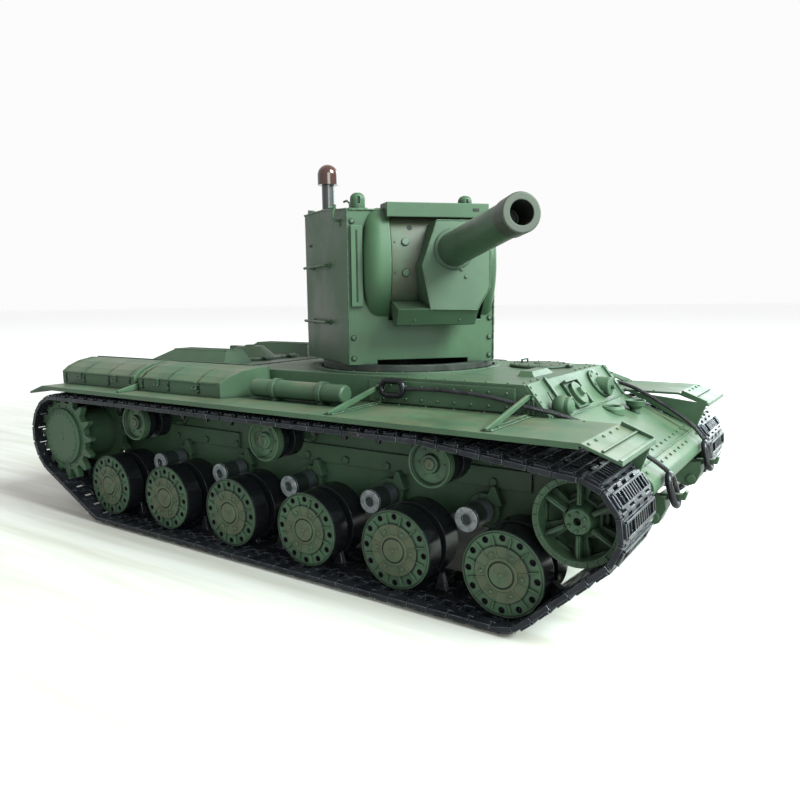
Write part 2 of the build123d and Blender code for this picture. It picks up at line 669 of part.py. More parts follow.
BALL = (28.0, 0.2)
with BuildPart() as bow_machine_gun:
    with BuildSketch(DRIVER_PLANE):
        with Locations(BALL):
            Circle(8.8)
    extrude(amount=1.4)
    with BuildSketch(DRIVER_PLANE.offset(1.4)):
        with Locations(BALL):
            with PolarLocations(7.4, 8):
                Circle(0.7)
    extrude(amount=0.6)
    # the ball's round shield stands upright in front of the flange
    with BuildSketch(Plane.YZ.offset(plate_middle[0])):
        with Locations((BALL[0], plate_middle[1] - 0.8)):
            Circle(5.2)
    extrude(amount=7.6)
    fillet(bow_machine_gun.edges().group_by(Axis.X)[-1], 1.0)
    with BuildSketch(Plane.YZ.offset(plate_middle[0] + 7.6)):
        with Locations((BALL[0], plate_middle[1] - 0.8)):
            Circle(1.2)
    extrude(amount=1.8)
    add(side_plate([(MID + 120.0, 90.0), PLATE_TOP, PLATE_FOOT, (MID + 120.0, 80.0)], 60.0, -60.0),
        mode=Mode.SUBTRACT)
bow_machine_gun.part.label = "bow_machine_gun"
export_step(bow_machine_gun.part, "parts/bow_machine_gun.step")

# ---------------------------------------------------------------- hull hatch
HATCH_X = MID + 98.5
HATCH_Y = 30.0
HATCH_R = 17.0
HATCH_HINGE = (HATCH_X + HATCH_R + 1.2, ROOF_Z + 1.2)
with BuildPart() as hull_hatch:
    with BuildSketch(Plane.XY.offset(ROOF_Z + 0.1)):
        with Locations((HATCH_X, HATCH_Y)):
            Circle(HATCH_R)
    extrude(amount=1.7)
    chamfer(hull_hatch.edges().group_by(Axis.Z)[-1], 0.8)
    with BuildSketch(Plane.XZ.offset(-HATCH_Y - 3.0)):
        with Locations((HATCH_X + HATCH_R - 1.0, ROOF_Z + 0.9)):
            Rectangle(4.4, 1.4)
        with Locations(HATCH_HINGE):
            Circle(1.0)
    extrude(amount=6.0)
    # wire handle
    with BuildSketch(Plane.YZ.offset(HATCH_X - 9.4)):
        with Locations((HATCH_Y, ROOF_Z + 3.0)):
            Rectangle(9.0, 2.6)
        with Locations((HATCH_Y, ROOF_Z + 2.5)):
            Rectangle(7.2, 1.8, mode=Mode.SUBTRACT)
    extrude(amount=0.9)
hull_hatch.part.label = "hull_hatch"
export_step(hull_hatch.part, "parts/hull_hatch.step")

# ---------------------------------------------------------------- tow hooks
HOOK_Y = 38.4
hook_rise = (NOSE_FOOT[1] - BELLY_Z) / (NOSE_FOOT[0] - MID - 140.0)
hook_base = (MID + 168.0, BELLY_Z + 28.0 * hook_rise)
with BuildPart() as front_hook:
    with BuildSketch(Plane.XZ.offset(HOOK_Y - 4.0)):
        with BuildLine():
            Polyline(hook_base, NOSE_FOOT, (MID + 186.6, 50.4), (MID + 187.4, 45.0), (MID + 184.6, 38.4),
                     (MID + 181.0, 36.6), (MID + 176.6, 38.2), close=True)
        make_face()
    extrude(amount=8.0)
    with BuildSketch(Plane.XZ.offset(HOOK_Y - 1.6)):
        with BuildLine():
            Polyline((MID + 184.0, 47.0), (MID + 188.4, 49.3), (MID + 194.4, 49.5), (MID + 195.4, 53.0),
                     (MID + 194.2, 53.6), (MID + 193.2, 51.8), (MID + 184.0, 51.2), close=True)
        make_face()
    extrude(amount=3.2)
    with BuildSketch(Plane.XZ.offset(HOOK_Y - 5.2)):
        with Locations((MID + 182.6, 41.0)):
            Circle(2.2)
    extrude(amount=10.4)
with BuildPart() as rear_hook:
    for y in (-HOOK_Y - 6.0, -HOOK_Y + 3.6):
        with BuildSketch(Plane.XZ.offset(-y)):
            with BuildLine():
                Polyline((MID - 193.16, 57.6), (MID - 193.88, 64.8), (MID - 199.5, 63.2), (MID - 199.5, 59.2),
                         close=True)
            make_face()
        extrude(amount=-2.4)
    with BuildSketch(Plane.XZ.offset(HOOK_Y - 6.0)):
        with Locations((MID - 197.2, 61.2)):
            Circle(1.4)
    extrude(amount=12.0)
hooks = [front_hook.part, rear_hook.part]
group("tow_hooks", *hooks, *[mirror(one, about=Plane.XZ) for one in hooks])

# ---------------------------------------------------------------- tow cables
CABLE_R = 1.1
EYE_R = 1.5
RIGHT_CABLE = [
    (MID + 66.4, -61.8, 92.1), (MID + 82.0, -61.3, 92.9), (MID + 99.0, -62.0, 92.4), (MID + 115.0, -61.3, 91.1),
    (MID + 129.0, -61.0, 88.0), (MID + 141.0, -57.4, 85.8), (MID + 151.5, -52.6, 82.0), (MID + 162.0, -49.4, 76.8),
    (MID + 172.0, -47.6, 71.6), (MID + 181.4, -43.8, 67.2), (MID + 187.0, -40.2, 61.4)]
LEFT_CABLE = [
    (MID + 66.4, 61.8, 92.2), (MID + 83.0, 61.2, 92.6), (MID + 100.0, 61.9, 93.0), (MID + 116.0, 61.4, 91.2),
    (MID + 130.0, 60.8, 87.9), (MID + 142.0, 56.8, 85.8), (MID + 152.0, 53.0, 82.6), (MID + 162.6, 50.4, 77.6),
    (MID + 172.4, 48.4, 72.2), (MID + 181.6, 44.0, 67.0), (MID + 187.0, 40.2, 61.4)]


def cable(route, name):
    """A tube along straight runs joined by tangent arcs as large as the runs allow."""
    points = [Vector(*point) for point in route]
    radii = []
    for before, here, after in zip(points, points[1:], points[2:]):
        first = here - before
        second = after - here
        half_turn = radians(first.get_angle(second)) / 2
        radii.append(0.45 * min(first.length, second.length) / tan(half_turn))
    print(name, "bend radii", [round(radius, 1) for radius in radii])
    with BuildPart() as tube:
        with BuildLine() as path:
            FilletPolyline(*points, radius=radii)
        with BuildSketch(Plane(origin=path.line @ 0, z_dir=path.line % 0)):
            Circle(CABLE_R)
        sweep()
    tube.part.label = name
    export_step(tube.part, f"parts/{name}.step")
    length = sum(edge.length for edge in path.edges())
    ideal = pi * CABLE_R ** 2 * length
    print(name, "length", round(length, 1), "volume", round(tube.part.volume, 1), "of", round(ideal, 1))


cable(RIGHT_CABLE, "tow_cable_right")
cable(LEFT_CABLE, "tow_cable_left")


def eye(long_r, short_r):
    """A spliced loop at the end of a cable, flat in the XY plane, its long axis along X."""
    half = long_r - short_r
    with BuildPart() as loop:
        with BuildLine() as oval:
            Line((-half, -short_r), (half, -short_r))
            ThreePointArc((half, -short_r), (long_r, 0), (half, short_r))
            Line((half, short_r), (-half, short_r))
            ThreePointArc((-half, short_r), (-long_r, 0), (-half, -short_r))
        with BuildSketch(Plane(origin=(-half, -short_r, 0), z_dir=(1, 0, 0))):
            Circle(EYE_R)
        sweep(path=oval.line)
    return loop.part


EYE_LONG = 6.9
EYE_SHORT = 3.9
EYE_LEAN = Vector(-0.26, -0.14, 0.95).normalized()
rear_eye = Pos(MID + 66.3 - 6.6 - EYE_R, -61.8, 92.0) * Rot(90, 0, 0) * eye(6.6, 3.6)
eye_centre = Vector(MID + 187.0, -40.2, 61.4) - EYE_LEAN * (EYE_LONG + EYE_R + 0.1)
front_eye = Plane(origin=eye_centre, x_dir=EYE_LEAN, z_dir=Vector(0, 1, 0).cross(EYE_LEAN)) * eye(
    EYE_LONG, EYE_SHORT)
eyes = [rear_eye, front_eye]
group("cable_eyes", *eyes, *[mirror(one, about=Plane.XZ) for one in eyes])

# ---------------------------------------------------------------- turret shell
# Turret pieces are drawn looking straight ahead about the turret's own axis, and turned at the end.
TURRET_POSE = Pos(TURRET_X, 0, 0) * Rot(0, 0, TURRET_YAW)
PLAN = [(36.0, -40.5), (36.0, 40.5), (-53.0, 57.0), (-53.0, -57.0)]
WALL = 2.4
FRONT_X = 36.0
SLOT_Y = (-19.0, 33.0)
SLOT_Z = (125.0, 178.4)
ROOF_LINE = [(FRONT_X + 1, 182.6), (-5.0, 186.8), (-54.0, 188.4)]


def turret_block(inset):
    """The turret's box between its floor and its sloped roof, shrunk by inset on every side."""
    with BuildPart() as block:
        with BuildSketch(Plane.XY.offset(TURRET_Z + inset)):
            with BuildLine():
                Polyline(*PLAN, close=True)
            make_face()
            fillet(vertices().group_by(Axis.X)[0], 11.0)
            if inset:
                offset(amount=-inset)
        extrude(amount=90.0)
        top = [(x, z - inset) for x, z in ROOF_LINE]
        add(side_plate([top[0], top[1], top[2], (-60.0, 188.6 - inset), (-60.0, 200.0), (40.0, 200.0),
                        (40.0, 182.3 - inset)], 60.0, -60.0), mode=Mode.SUBTRACT)
    return block.part


def cheek(y_from, y_to, rounding):
    """The front of a drum about the trunnions, standing out of the front plate, with a rounded end."""
    with BuildPart() as drum_end:
        with BuildSketch(Plane.XZ.offset(-y_from)):
            with Locations(TRUNNION):
                Circle(44.0)
        extrude(amount=y_from - y_to)
        fillet(drum_end.faces().sort_by(Axis.Y)[0].edges(), rounding)
        with BuildSketch(Plane.XZ.offset(-y_from)):
            with Locations((FRONT_X - 100.5, TRUNNION[1])):
                Rectangle(200.0, 100.0)
        extrude(amount=y_from - y_to, mode=Mode.SUBTRACT)
    return drum_end.part


right_cheek = cheek(SLOT_Y[0], -32.4, 8.5)
left_cheek = mirror(cheek(-SLOT_Y[1], -39.6, 4.0), about=Plane.XZ)

with BuildPart() as turret_shell:
    add(turret_block(0))
    # cheeks: fixed drum ends each side of the gun mantlet
    add(right_cheek)
    add(left_cheek)
    add(turret_block(WALL), mode=Mode.SUBTRACT)
    with BuildSketch(Plane.XY.offset(TURRET_Z)):
        Circle(44.0)
    extrude(amount=WALL, mode=Mode.SUBTRACT)
    # slot for the mantlet, open at the roof's front edge under the visor
    add(side_plate([(28.0, SLOT_Z[0]), (28.0, 192.0), (50.0, 192.0), (50.0, SLOT_Z[0])],
                   SLOT_Y[1], SLOT_Y[0]), mode=Mode.SUBTRACT)
    # visor box over the slot
    add(side_plate([(26.0, 181.5), (26.0, 186.6), (43.5, 185.7), (43.5, 178.4), (41.9, 178.4), (41.9, 184.2),
                    (28.2, 184.6), (28.2, 181.5)], SLOT_Y[1], SLOT_Y[0]))
    for y in (SLOT_Y[0], SLOT_Y[1] + 1.6):
        add(side_plate([(26.0, 180.5), (26.0, 186.6), (43.5, 185.7), (43.5, 178.4), (36.0, 175.5),
                        (36.0, 179.8)], y, y - 1.6))
    # rail box on the front plate, and the row of conical bolts down each edge
    with BuildSketch(Plane.YZ.offset(FRONT_X)):
        with Locations((-35.8, 153.5)):
            Rectangle(6.0, 42.0)
    extrude(amount=2.0)
    with BuildSketch(Plane.YZ.offset(FRONT_X)):
        with Locations([(38.0, z) for z in (105.0, 115.0, 125.5, 133.0)]):
            Circle(1.3)
        with Locations([(-38.0, z) for z in (105.0, 116.0, 176.5)]):
            Circle(1.3)
    extrude(amount=0.9, taper=25)
    # rear door opening
    with BuildSketch(Plane.YZ.offset(-60.0)):
        with Locations((0, 140.0)):
            RectangleRounded(34.0, 40.0, 4.0)
    extrude(amount=12.0, mode=Mode.SUBTRACT)
    # roof hatch opening
    with BuildSketch(Plane.XY.offset(180.0)):
        with Locations((-27.0, 20.0)):
            Circle(13.2)
    extrude(amount=20.0, mode=Mode.SUBTRACT)
turret_shell_placed = TURRET_POSE * turret_shell.part
turret_shell_placed.label = "turret_shell"
export_step(turret_shell_placed, "parts/turret_shell.step")

# ---------------------------------------------------------------- turret ring
ring_profile = [(44.0, 90.0), (ROOF_HOLE_R - 0.1, 90.0), (ROOF_HOLE_R - 0.1, 98.2), (RING_R, 98.2),
                (RING_R, TURRET_Z), (44.0, TURRET_Z)]
with BuildPart() as turret_ring:
    with BuildSketch(Plane.XZ):
        with BuildLine():
            Polyline(*ring_profile, close=True)
        make_face()
    revolve(axis=Axis.Z)
turret_ring_placed = TURRET_POSE * turret_ring.part
turret_ring_placed.label = "turret_ring"
export_step(turret_ring_placed, "parts/turret_ring.step")

# ---------------------------------------------------------------- turret rear door
DOOR_HINGE = (-54.6, -18.0)
with BuildPart() as turret_rear_door:
    with BuildSketch(Plane.YZ.offset(-53.0)):
        with Locations((0, 140.0)):
            RectangleRounded(33.0, 39.2, 3.8)
    extrude(amount=2.2)
    with BuildSketch(Plane.YZ.offset(-53.0)):
        with Locations([(-12.4, z) for z in (128.0, 152.0)]):
            Rectangle(7.6, 4.0)
    extrude(amount=-1.4)
    for z in (126.0, 150.0):
        with BuildSketch(Plane.XY.offset(z)):
            with Locations(DOOR_HINGE):
                Circle(1.1)
            with Locations((-54.3, -16.6)):
                Rectangle(0.8, 2.8)
        extrude(amount=4.0)
    with BuildSketch(Plane.YZ.offset(-53.0)):
        with Locations((6.0, 144.0)):
            Circle(3.2)
    extrude(amount=-2.4)
turret_rear_door_placed = TURRET_POSE * turret_rear_door.part
turret_rear_door_placed.label = "turret_rear_door"
export_step(turret_rear_door_placed, "parts/turret_rear_door.step")

# ---------------------------------------------------------------- turret roof hatch
ROOF_HATCH = (-27.0, 20.0)
ROOF_FALL = (ROOF_LINE[2][1] - ROOF_LINE[1][1]) / (ROOF_LINE[1][0] - ROOF_LINE[2][0])


def roof_plane(x, y, above=0.0):
    """A plane on the rear slope of the turret roof."""
    z = ROOF_LINE[1][1] + (ROOF_LINE[1][0] - x) * ROOF_FALL
    return Plane(origin=(x, y, z), x_dir=(1, 0, -ROOF_FALL), z_dir=(ROOF_FALL, 0, 1)).offset(above)


HATCH_SEAT = roof_plane(ROOF_HATCH[0], ROOF_HATCH[1], 0.15)
with BuildPart() as turret_hatch:
    with BuildSketch(HATCH_SEAT):
        Circle(15.0)
    extrude(amount=1.6)
    chamfer(turret_hatch.edges().group_by(Axis.Z)[-1], 0.7)
    with BuildSketch(HATCH_SEAT.offset(0.2)):
        with Locations((-15.6, 0)):
            Rectangle(4.0, 8.0)
    extrude(amount=1.6)
    # round barrel on the hinge line
    with BuildSketch(Plane(origin=HATCH_SEAT.from_local_coords((-17.2, -5.0, 1.0)), z_dir=(0, 1, 0))):
        Circle(0.8)
    extrude(amount=10.0)
turret_hatch_placed = TURRET_POSE * turret_hatch.part
turret_hatch_placed.label = "turret_hatch"
export_step(turret_hatch_placed, "parts/turret_hatch.step")

# ---------------------------------------------------------------- turret fittings
front_fall = (ROOF_LINE[1][1] - ROOF_LINE[0][1]) / (ROOF_LINE[0][0] - ROOF_LINE[1][0])
SIDE_WALL = Plane(origin=(PLAN[0][0], PLAN[0][1], 0), x_dir=(89.0, 16.5, 0), z_dir=(16.5, -89.0, 0))


def hood(x, y):
    """A domed sight hood on the front slope of the roof, its window facing forward."""
    z = ROOF_LINE[0][1] + (ROOF_LINE[0][0] - x) * front_fall
    seat = Plane(origin=(x, y, z), x_dir=(1, 0, -front_fall), z_dir=(front_fall, 0, 1))
    with BuildPart() as dome:
        with BuildSketch(seat):
            Circle(4.0)
        extrude(amount=8.6)
        fillet(dome.edges().group_by(SortBy.DISTANCE)[-1].filter_by(GeomType.CIRCLE), 3.4)
        with BuildSketch(seat.offset(3.0)):
            with Locations((4.0, 0)):
                Rectangle(2.0, 1.4)
        extrude(amount=3.6, mode=Mode.SUBTRACT)
    return dome.part


def grab_rail(start, end, z):
    """A rail on two stand-offs along the right side wall, at distances behind the front corner."""
    with BuildPart() as rail:
        with BuildSketch(SIDE_WALL):
            with Locations((-start - 2.0, z), (-end + 9.0, z)):
                Circle(0.9)
        extrude(amount=3.6)
        with BuildSketch(Plane(origin=SIDE_WALL.from_local_coords((-start, z, 3.4)), z_dir=-SIDE_WALL.x_dir)):
            Circle(0.8)
        extrude(amount=end - start)
    return rail.part


rails = [grab_rail(29.0, 71.0, 155.5), grab_rail(30.0, 72.0, 123.7)]
fittings = [hood(28.6, -33.4), hood(19.5, 29.0), *rails, *[mirror(one, about=Plane.XZ) for one in rails]]
group("turret_fittings", *[TURRET_POSE * one for one in fittings])

# ---------------------------------------------------------------- gun mantlet and barrel
GUN_POSE = (TURRET_POSE * Pos(TRUNNION[0], 0, TRUNNION[1]) * Rot(0, -GUN_RISE, 0)
            * Pos(-TRUNNION[0], 0, -TRUNNION[1]))
SHIELD_Y = (-18.4, 32.4)
SHIELD_R = 42.2
SHIELD_T = 2.6
NOSE_FRONT = [(2.8, 171.1), (-5.3, 148.1), (-1.5, 126.2), (23.4, 125.6), (30.7, 137.4), (31.2, 156.2),
              (21.4, 171.1)]
NOSE_BACK = [(2.0, 171.4), (-6.3, 150.0), (-2.5, 128.0), (24.0, 127.0), (31.8, 138.0), (32.1, 156.0),
             (22.0, 171.4)]
SHIELD_SPAN = (-52.0, 32.0)    # degrees about the trunnions, gun level

with BuildPart() as gun_mantlet:
    # curved shield, an arc of a drum about the trunnions
    with BuildSketch(Plane.XZ.offset(-SHIELD_Y[1])):
        with Locations(TRUNNION):
            Circle(SHIELD_R)
            Circle(SHIELD_R - SHIELD_T, mode=Mode.SUBTRACT)
        with BuildLine():
            Polyline((TRUNNION[0] + 70 * cos(radians(SHIELD_SPAN[1])), TRUNNION[1] + 70 * sin(radians(SHIELD_SPAN[1]))),
                     TRUNNION,
                     (TRUNNION[0] + 70 * cos(radians(SHIELD_SPAN[0])), TRUNNION[1] + 70 * sin(radians(SHIELD_SPAN[0]))),
                     (TRUNNION[0] + 70, TRUNNION[1]), close=True)
        make_face(mode=Mode.INTERSECT)
    extrude(amount=SHIELD_Y[1] - SHIELD_Y[0])
    # faceted nose box
    with BuildSketch(Plane.YZ.offset(38.5)):
        with BuildLine():
            Polyline(*NOSE_BACK, close=True)
        make_face()
    with BuildSketch(Plane.YZ.offset(56.0)):
        with BuildLine():
            Polyline(*NOSE_FRONT, close=True)
        make_face()
    loft()
    # lower lip
    add(side_plate([(38.2, 129.5), (41.0, 131.5), (55.9, 126.4), (50.0, 118.6), (44.0, 118.6), (40.5, 124.5)],
                   24.0, -18.4))
    # trunnion bar behind the shield
    with BuildSketch(Plane.XZ.offset(-SHIELD_Y[1])):
        with Locations(TRUNNION):
            Circle(5.0)
    extrude(amount=SHIELD_Y[1] - SHIELD_Y[0])
    add(side_plate([(3.0, 150.0), (41.0, 150.0), (41.0, 163.0), (3.0, 163.0)], GUN_Y + 11.5, GUN_Y - 11.5))
    with BuildSketch(Plane.YZ.offset(8.0)):
        with Locations((GUN_Y, GUN_Z)):
            Circle(8.95)
    extrude(amount=60.0, mode=Mode.SUBTRACT)
    # bolts on the shield
    for angle in (9.6, -11.9, -38.0):
        bolt_x = TRUNNION[0] + (SHIELD_R - 0.4) * cos(radians(angle))
        bolt_z = TRUNNION[1] + (SHIELD_R - 0.4) * sin(radians(angle))
        face = Plane(origin=(bolt_x, -11.0, bolt_z), z_dir=(cos(radians(angle)), 0, sin(radians(angle))))
        with BuildSketch(face):
            Circle(1.8)
        extrude(amount=1.3)
gun_mantlet_placed = GUN_POSE * gun_mantlet.part
gun_mantlet_placed.label = "gun_mantlet"
export_step(gun_mantlet_placed, "parts/gun_mantlet.step")

BORE_R = 5.0
with BuildPart() as barrel:
    with BuildSketch(Plane.XZ):
        with BuildLine():
            Polyline((10.0, 3.6), (10.0, 8.9), (56.05, 8.9), (56.05, 9.8), (57.3, 9.8), (57.3, 8.7),
                     (MUZZLE_X - 11.0, 7.5), (MUZZLE_X - 10.5, 8.1), (MUZZLE_X - 0.5, 8.1), (MUZZLE_X, 7.6),
                     (MUZZLE_X, BORE_R), (MUZZLE_X - 22.0, BORE_R), (MUZZLE_X - 22.0, 3.6), close=True)
        make_face()
    revolve(axis=Axis.X)
with BuildPart() as shot_tube:
    with BuildSketch(Plane.XZ):
        with BuildLine():
            Polyline((10.0, 3.05), (10.0, 3.6), (MUZZLE_X - 12.0, 3.6), (MUZZLE_X - 12.0, 3.05), close=True)
        make_face()
    revolve(axis=Axis.X)
on_axis = Pos(0, GUN_Y, GUN_Z)
group("gun_barrel", GUN_POSE * on_axis * barrel.part, GUN_POSE * on_axis * shot_tube.part)

# ---------------------------------------------------------------- infrared receiver
RECEIVER = (-29.0, -41.5)
CAP_Z = 204.6
CAP_R = 6.2
with BuildPart() as post:
    with BuildSketch(roof_plane(RECEIVER[0], RECEIVER[1])):
        Circle(5.2)
    extrude(amount=1.6)
    with BuildSketch(Plane.XY.offset(188.4)):
        with Locations(RECEIVER):
            Circle(3.8)
    extrude(amount=CAP_Z - 188.4)
with BuildPart() as cap:
    with BuildSketch(Plane.XZ):
        with BuildLine():
            Polyline((0, CAP_Z), (CAP_R, CAP_Z), (CAP_R, CAP_Z + 5.8))
            ThreePointArc((CAP_R, CAP_Z + 5.8), (CAP_R * cos(pi / 4), CAP_Z + 5.8 + CAP_R * sin(pi / 4)),
                          (0, CAP_Z + 5.8 + CAP_R))
            Line((0, CAP_Z + 5.8 + CAP_R), (0, CAP_Z))
        make_face()
    revolve(axis=Axis.Z)
stand = TURRET_POSE * Pos(RECEIVER[0], RECEIVER[1], 0)
group("infrared_receiver", TURRET_POSE * post.part, stand * cap.part)

# ---------------------------------------------------------------- inside the hull
# Two motor and gear casings drive the sprockets from the rear of the tub.
with BuildPart() as gearbox:
    with BuildSketch(Plane.XZ.offset(24.0)):
        with BuildLine():
            Polyline((MID - 184.0, 62.0), (MID - 184.0, 49.4), (MID - 173.2, 36.0), (MID - 142.0, 36.0),
                     (MID - 142.0, 62.0), close=True)
        make_face()
    extrude(amount=26.8)
    with BuildSketch(Plane.XZ.offset(8.0)):
        with Locations((MID - 134.0, 46.0)):
            Circle(13.5)
    extrude(amount=40.0)
    with BuildSketch(Plane.XZ.offset(24.0)):
        with Locations((MID - 144.0, 48.0)):
            Rectangle(14.0, 18.0)
    extrude(amount=20.0)
    with BuildSketch(Plane.XZ.offset(50.8)):
        with Locations((SPROCKET_X, SPROCKET_Z)):
            Circle(SHAFT_R + RUNNING)
    extrude(amount=-3.4, mode=Mode.SUBTRACT)
group("drive_gearboxes", gearbox.part, mirror(gearbox.part, about=Plane.XZ))

with BuildPart() as battery:
    with BuildSketch(Plane.XY.offset(BELLY_Z + HULL_WALL)):
        with Locations((MID + 70.0, 0)):
            RectangleRounded(92.0, 42.0, 3.0)
    extrude(amount=22.0)
with BuildPart() as control_board:
    with BuildSketch(Plane.XY.offset(BELLY_Z + HULL_WALL)):
        with Locations((MID - 45.0, 0)):
            Rectangle(100.0, 60.0)
    extrude(amount=10.0)
with BuildPart() as speaker:
    with BuildSketch(Plane.XY.offset(BELLY_Z + HULL_WALL)):
        with Locations((MID + 66.0, 38.0)):
            Rectangle(28.0, 28.0)
    extrude(amount=14.0)
group("electronics", battery.part, control_board.part, speaker.part)

with BuildPart() as turret_motor:
    with BuildSketch(Plane.XY.offset(BELLY_Z + HULL_WALL)):
        with Locations((MID - 8.0, -40.0)):
            Rectangle(26.0, 20.0)
    extrude(amount=52.0)
turret_motor.part.label = "turret_motor"
export_step(turret_motor.part, "parts/turret_motor.step")
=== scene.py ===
import random
from math import asin, atan2, cos, hypot, pi, radians, sin, sqrt

import bmesh
import bpy
from mathutils import Matrix, Vector


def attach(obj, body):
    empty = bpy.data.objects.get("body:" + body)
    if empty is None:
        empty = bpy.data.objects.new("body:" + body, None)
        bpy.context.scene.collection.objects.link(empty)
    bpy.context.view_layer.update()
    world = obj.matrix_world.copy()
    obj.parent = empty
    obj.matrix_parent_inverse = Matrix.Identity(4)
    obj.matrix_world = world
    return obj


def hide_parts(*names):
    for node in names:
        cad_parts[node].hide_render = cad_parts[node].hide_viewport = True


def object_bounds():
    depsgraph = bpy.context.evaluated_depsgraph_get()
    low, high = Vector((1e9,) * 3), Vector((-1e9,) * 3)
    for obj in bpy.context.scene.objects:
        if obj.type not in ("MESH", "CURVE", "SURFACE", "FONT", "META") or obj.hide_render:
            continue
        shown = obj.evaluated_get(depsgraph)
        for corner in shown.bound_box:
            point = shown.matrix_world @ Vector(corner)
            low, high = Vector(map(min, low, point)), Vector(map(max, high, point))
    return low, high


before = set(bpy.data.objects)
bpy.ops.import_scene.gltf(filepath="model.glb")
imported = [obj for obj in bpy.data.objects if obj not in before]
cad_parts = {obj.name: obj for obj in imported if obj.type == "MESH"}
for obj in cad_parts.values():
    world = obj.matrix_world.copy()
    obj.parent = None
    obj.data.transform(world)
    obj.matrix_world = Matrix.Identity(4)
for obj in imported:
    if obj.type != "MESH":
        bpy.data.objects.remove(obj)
CAD_BOX = [list(corner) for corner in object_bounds()]

# Lengths below are millimetres in the tank's own frame, as in the CAD; MM turns them into metres.
MM = 0.001
MID = 5.7  # X of the middle of the six road wheels
WHEEL_PITCH = 54.0
WHEEL_X = [MID + WHEEL_PITCH * (i - 2.5) for i in range(6)]
WHEEL_Z = 22.35
WHEEL_R = 18.75
ARM_PIVOT = (28.0, 14.5)  # X and Z from a road wheel's axle to its arm's pivot
ARM_FACE_Y = -67.45  # the outer face of an arm
BOSS_FACE_Y = -78.0  # the outer face of an arm's pivot boss
LAST_BOSS_FACE_Y = -67.5  # the same on the sixth arm, which has the idler beside it
SPROCKET = (MID - 178.0, 50.0)
IDLER = (171.644, 50.0)
ROLLER_X = [MID - 111.5, MID - 2.8, MID + 97.9]
ROLLER_PITCH = 104.7  # mean distance between return rollers
ROLLER_Z = 64.0
ROOF_Z = 97.0  # the hull's roof
TURRET_X = MID + 27.5
TURRET = Matrix.Translation((TURRET_X, 0, 0)) @ Matrix.Rotation(radians(-43.5), 4, "Z")
TRUNNION = (2.0, 155.0)  # X and Z of the gun's tilting axis, in the turret's frame
BORE = (11.5, 156.5)  # Y and Z of the barrel's axis, in the turret's frame
SHIELD_R = 42.2  # the mantlet's curved face, about the trunnion
GUN = (TURRET @ Matrix.Translation((TRUNNION[0], 0, TRUNNION[1])) @ Matrix.Rotation(radians(-4.9), 4, "Y")
       @ Matrix.Translation((-TRUNNION[0], 0, -TRUNNION[1])))

# ---- camera
# Solved from the straight edges and the wheel centres, in metres.
CAMERA_AT = (0.259175, -0.346375, 0.135659)
CAMERA_RIGHT = Vector((0.831806, 0.554956, -0.011019))
CAMERA_UP = Vector((-0.069994, 0.124565, 0.989740))
CAMERA_BACK = Vector((0.550635, -0.822501, 0.142457))
lens = bpy.data.cameras.new("camera")
lens.sensor_width = 36.0
lens.lens = 31.226
lens.clip_start = 0.01
camera = bpy.data.objects.new("camera", lens)
camera.matrix_world = Matrix((CAMERA_RIGHT, CAMERA_UP, CAMERA_BACK)).transposed().to_4x4()
camera.location = CAMERA_AT
bpy.context.scene.collection.objects.link(camera)
bpy.context.scene.camera = camera


